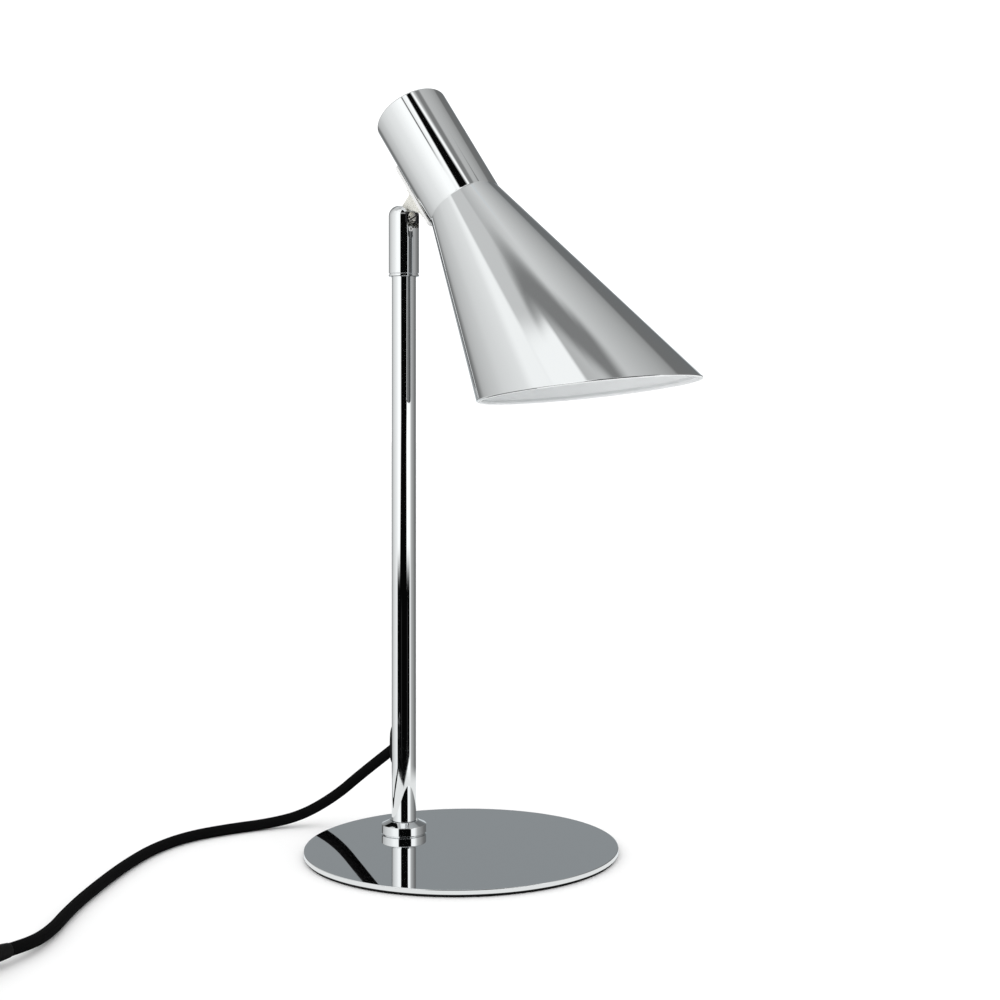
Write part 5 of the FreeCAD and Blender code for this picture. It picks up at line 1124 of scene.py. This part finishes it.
# %% The plug and its pins
plug_grip = softened("plug_body", "plug_grip", black_plastic, 1.1, "base", "black_plastic", segments=4)
PIN_RADIUS, PIN_LENGTH, PIN_SIDE, PIN_COVER, COVER_STEP = 2.0, 19.0, 9.3, 10.0, 0.05
bare = PIN_RADIUS - COVER_STEP
pin_profile = [
    (0, 0, 0), (PIN_RADIUS, 0, 0), (PIN_RADIUS, PIN_COVER, 0), (bare, PIN_COVER + 0.1, 0), (bare, PIN_LENGTH, 1.3),
    (0, PIN_LENGTH, 0),
]
pins = bmesh.new()
for side in (-PIN_SIDE, PIN_SIDE):
    pins.from_mesh(turned_mesh("pin", pin_profile, (side, 0), segments=48))
pins.transform(at(PLUG_X, PLUG_FRONT, PLUG_Z) @ turned_by(-90, "X"))
pin_mesh = meshed(pins, bpy.data.meshes.new("plug_contacts"))
plug_contacts = dressed("plug_contacts", pin_mesh, nickel, "base", "nickel", "plug_pins")
pin_mesh.materials.append(black_plastic)
for face in pin_mesh.polygons:
    if face.center.y < (PLUG_FRONT + PIN_COVER + COVER_STEP) * MM:
        face.material_index = 1
weighted(plug_contacts, sharp=40)

# %% [markdown]
# ## The band round the coil
# A strip of hook-and-loop tape holds the coil. It is a thin closed band with round corners, and its end lies
# over its start on top.

# %% The band
BAND_X, BAND_WIDTH, BAND_WALL = -76.0, 9.0, 0.5
BAND_FAR, BAND_NEAR, BAND_TOP, BAND_ROUND = -486.2, -462.0, 15.8, 3.4


def band_outline(inset):
    """The band's section as a rectangle with round corners, so far inside its outer face."""
    radius = BAND_ROUND - inset
    far, near = BAND_FAR + BAND_ROUND, BAND_NEAR - BAND_ROUND
    low, top = BAND_ROUND, BAND_TOP - BAND_ROUND
    corners = ((near, top, 0), (far, top, 90), (far, low, 180), (near, low, 270))
    return [point for y, z, start in corners for point in arc((y, z), radius, start, start + 90)]


band_low, band_high = BAND_X - BAND_WIDTH / 2, BAND_X + BAND_WIDTH / 2
band_mesh = carved(
    "coil_band", prism(band_outline(0), band_low, band_high),
    prism(band_outline(BAND_WALL), band_low - 1, band_high + 1),
)
flap_outline = [
    (BAND_FAR + 5, BAND_TOP - 0.1), (BAND_NEAR - 4, BAND_TOP - 0.1), (BAND_NEAR - 4, BAND_TOP + 0.5),
    (BAND_FAR + 5, BAND_TOP + 0.7),
]
flap = bmesh.new()
flap.from_mesh(eased(band_mesh, 0.12, sharper=50))
flap.from_mesh(eased(prism(flap_outline, band_low + 0.2, band_high - 0.2), 0.15, sharper=50))
meshed(flap, band_mesh)
coil_band = weighted(dressed("coil_band", band_mesh, band_tape, "base", "black_textile", "coil_tie"), sharp=40)

# %% [markdown]
# ## The last small metal
# The screw across the fork and the nuts, bracket and holder inside the neck keep the form of their solids, with
# broken edges, so that they read as metal and resin when someone looks into the neck.

# %% Small metal, and the holder
softened("hinge_screw", "fork_screw", nickel, 0.15, "cap", "nickel")
softened("plate_nuts", "neck_nuts", nickel, 0.3, "head", "nickel")
softened("holder_bracket", "holder_strap", steel, 0.25, "head", "steel")
softened("lamp_holder", "holder_shell", holder_resin, 0.3, "head", "holder_resin")

# %% [markdown]
# ## Studio
# A product photograph stands the lamp on white paper that runs on out of the picture. Here it is one pale, matt
# sheet. Mirrors don't see it: they see the floor that is painted with the room, with its own bright and dark parts.

# %% Floor
FLOOR_REACH, PAPER_SHADE = 6, 0.9
floor_mesh = bpy.data.meshes.new("studio_floor")
floor_mesh.from_pydata([
    (x * FLOOR_REACH, y * FLOOR_REACH, 0) for x, y in ((-1, -1), (1, -1), (1, 1), (-1, 1))
], [], [(0, 1, 2, 3)])
studio_floor = linked("studio_floor", floor_mesh)
paper, _, paper_shader = new_finish("pale_paper")
paper_shader["Base Color"].default_value = (PAPER_SHADE, PAPER_SHADE, PAPER_SHADE, 1)
paper_shader["Roughness"].default_value = 0.9
floor_mesh.materials.append(paper)
studio_floor.visible_glossy = False
print("floor reaches", FLOOR_REACH, "metres each way")

# %% [markdown]
# ## The room that the chrome reflects
# A mirror shows nothing but its surroundings, so the looks of this lamp are the looks of its room. The room could
# be built from lit boards, but soft borders and exact brightness are easier to paint: the brightness is worked out
# from the direction that a ray leaves in. Each wall, strip or gap is a mask that is 1 inside its borders, and it is
# hung in front of what was there before: white walls, a dark gap where the camera stands, and grey further round.

# %% The painted room
room = bpy.data.worlds.new("painted_studio")
bpy.context.scene.world = room
room.use_nodes = True
sky = room.node_tree
sky.nodes.clear()
bpy.context.scene.view_settings.view_transform = "Standard"

# Angles round the lamp: 0 is where the camera stands, and they grow to the camera's right. Heights are degrees.
front, right, up = parted(sky, added(sky, "ShaderNodeVectorRotate", {
    "Angle": math.radians(90) - HEADING, "Vector": added(sky, "ShaderNodeTexCoord", out="Generated"),
}, rotation_type="Z_AXIS"))
bearing = right.to("ARCTAN2", front) * math.degrees(1)
height = up.to("ARCSINE") * math.degrees(1)
# The same seen from straight above: how far a spot is from the zenith, to the right and to the front.
from_top = height * -1.0 + 90.0
flat_right = from_top * (bearing * math.radians(1)).to("SINE")
flat_front = from_top * (bearing * math.radians(1)).to("COSINE")
turned_away = bearing.to("ABSOLUTE")
BLACK, WHITE, CHROME_GIVES_BACK = 0.002, 255, 0.865


def hung(wall, mask, brightness):
    """Hang something in the room: where the mask is 1, its brightness replaces the wall's."""
    return wall + (mask * brightness - mask * wall)


def level(screen_value):
    """The wall brightness that chrome shows as this value of 0 to 255 on the screen."""
    part = screen_value / WHITE
    return ((part + 0.055) / 1.055) ** 2.4 / CHROME_GIVES_BACK


def graded(field, stops):
    """A brightness that follows a field through given stops of (where, screen value)."""
    low, high = stops[0][0], stops[-1][0]
    ramp = sky.nodes.new("ShaderNodeValToRGB")
    while len(ramp.color_ramp.elements) < len(stops):
        ramp.color_ramp.elements.new(0.5)
    for element, (where, value) in zip(ramp.color_ramp.elements, stops):
        element.position = (where - low) / (high - low)
        element.color = (level(value), level(value), level(value), 1)
    plugged(sky, ramp.inputs["Fac"], (field - low) / (high - low))
    return Field(sky, ramp.outputs["Color"])


# %% The walls, all round at the height of a person
wall = graded(bearing, [
    (-180, 138), (-172, 138), (-160, 150), (-151, 108), (-143, 120), (-134, 172), (-125, 184), (-112, 196),
    (-104, 207), (-96, 213), (-85, 222), (-72, 229), (-60, 242), (-48, 254), (61, 254), (71, 212), (80, 170),
    (95, 155), (110, 136), (127, 113), (140, 108), (165, 106), (172, 138), (180, 138),
])
wall = hung(wall, turned_away.step(163, 169) * height.step(11.5, 10), level(205))

# %% The ceiling, lighter to the top, and its dark strips
ceiling = graded(height, [(30, 132), (45, 143), (51, 155), (57, 165), (69, 179), (81, 193), (90, 204)])
tent_side = bearing - height * 0.8 + 108.4
tent_edge = tent_side.step(1.2, -1.6) * height.step(41, 46)
overhead = (bearing.step(42, 58) * height.step(42.0, 46.5)).to("MAXIMUM", height.step(64, 68))
strip = flat_front + flat_right * 0.35 + flat_right.to("MAXIMUM", 0.0) * 0.25
strip_end = strip - (flat_right + 9.0).to("MINIMUM", 0.0) * 0.17
strip_mask = strip.step(2.5, 5.3) * strip_end.step(9.2, 7.2) * flat_right.inside(-30, 6, 8, 8)
blob = ((flat_right - 13).to("POWER", 2.0) + (flat_front - 17).to("POWER", 2.0)).to("SQRT").step(9.5, 3.0)
tent = tent_side.step(-1.0, 1.5) * bearing.inside(-86, -30, 6, 6) * height.inside(44, 65.5, 4, 4)
glow = bearing.inside(-84, -62, 8, 10) * height.inside(27, 44, 14, 4)
for mask, brightness in (
    (tent_edge * bearing.step(-45, -60), level(193)), (overhead, ceiling), (strip_mask, level(121)),
    (blob, level(122)), (tent, level(243)), (glow, level(240)),
):
    wall = hung(wall, mask, brightness)

# %% The white strip and the black gap where the camera stands
left_edge = bearing - (height + 1.0).to("MINIMUM", 0.0) * 2.0
right_edge = bearing + height.to("MINIMUM", 0.0) * 0.41 - height.to("MAXIMUM", 0.0)
right_edge = right_edge - height.inside(-1.0, 3.7, 2.0, 1.0) * 4.0
gap = left_edge.step(-25.0, -20.5) * right_edge.step(30.0, 26.0)
stand = ((bearing + 37.0).to("ABSOLUTE") * 0.5 + (height - 45.5).to("ABSOLUTE") * 0.7).step(2.4, 0.8)
for mask, brightness in (
    ((bearing + height * 0.58).inside(15, 60, 4, 8) * height.inside(-90, 66, 1, 3), level(WHITE)),
    (gap * height.inside(-12, 63.5, 2, 3), BLACK), (gap * height.inside(18, 32, 2, 3), level(140)),
    (stand, level(110)),
):
    wall = hung(wall, mask, brightness)

# %% Below: white paper, then a black table edge that comes to a point under the camera, then a dark floor
left_reach = ((height + 12.65) * 118.0).to("MINIMUM", 58.5)
right_reach = ((height + 12.7) * 60.0 + 2.0).to("MINIMUM", 60.5)
table = (bearing + left_reach).step(-1.5, 1.5) * (bearing - right_reach).step(1.5, -1.5) * height.step(-5.0, -6.5)
faint = (bearing + 18).to("ABSOLUTE").step(3, 1.5) + (bearing - 38).to("ABSOLUTE").step(4, 2)
ground = height.step(-16.8, -18.4)
for mask, brightness in (
    (height.inside(-17.2, -12.3, 1.4, 0.6), level(225)), (table * height.step(-12.8, -12.6), BLACK),
    (faint * height.inside(-11.8, -7, 1, 1), level(45)), (ground, level(196)),
    (ground * bearing.inside(125, 150, 6, 6), level(66)), (height.step(-28.0, -32.0), level(66)),
    (height.step(-38, -44) * bearing.inside(-145, -95, 20, 20), level(130)),
):
    wall = hung(wall, mask, brightness)

# A slightly cool white, cooler still at the back.
cool = turned_away.step(140.0, 178.0)
tint = joined(sky, *(wall * (cool * back + base) for base, back in ((0.985, -0.07), (1.0, -0.015), (0.993, 0.03))))

# %% [markdown]
# The painted room has dark walls, which would also darken the paper and the enamel. So only mirror rays see the
# painting, and all else is lit evenly from every side, as inside a white tent.

# %% What sees the painting and what sees plain light
PLAIN_STRENGTH = 1.22
plain = added(sky, "ShaderNodeBackground", {"Color": (1, 1, 1, 1), "Strength": PLAIN_STRENGTH})
painted = added(sky, "ShaderNodeBackground", {"Color": tint})
glossy = added(sky, "ShaderNodeLightPath", out="Is Glossy Ray")
choice = added(sky, "ShaderNodeMixShader", {"Fac": glossy, 1: plain, 2: painted})
plugged(sky, sky.nodes.new("ShaderNodeOutputWorld").inputs["Surface"], choice)
print("room nodes", len(sky.nodes))

# %% [markdown]
# ## Riding
# Each piece rides on the body that carries it, so the joints move it. The two lengths of lead get
# their woven finish and ride on the base, in place of their solids.

# %% The leads ride on the base
for lead, node, cover in ((lead_run, "cord_run", textile), (lead_coil, "cord_coil", coil_textile)):
    lead.data.materials.append(cover)
    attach(lead, "base")
    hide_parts(node)
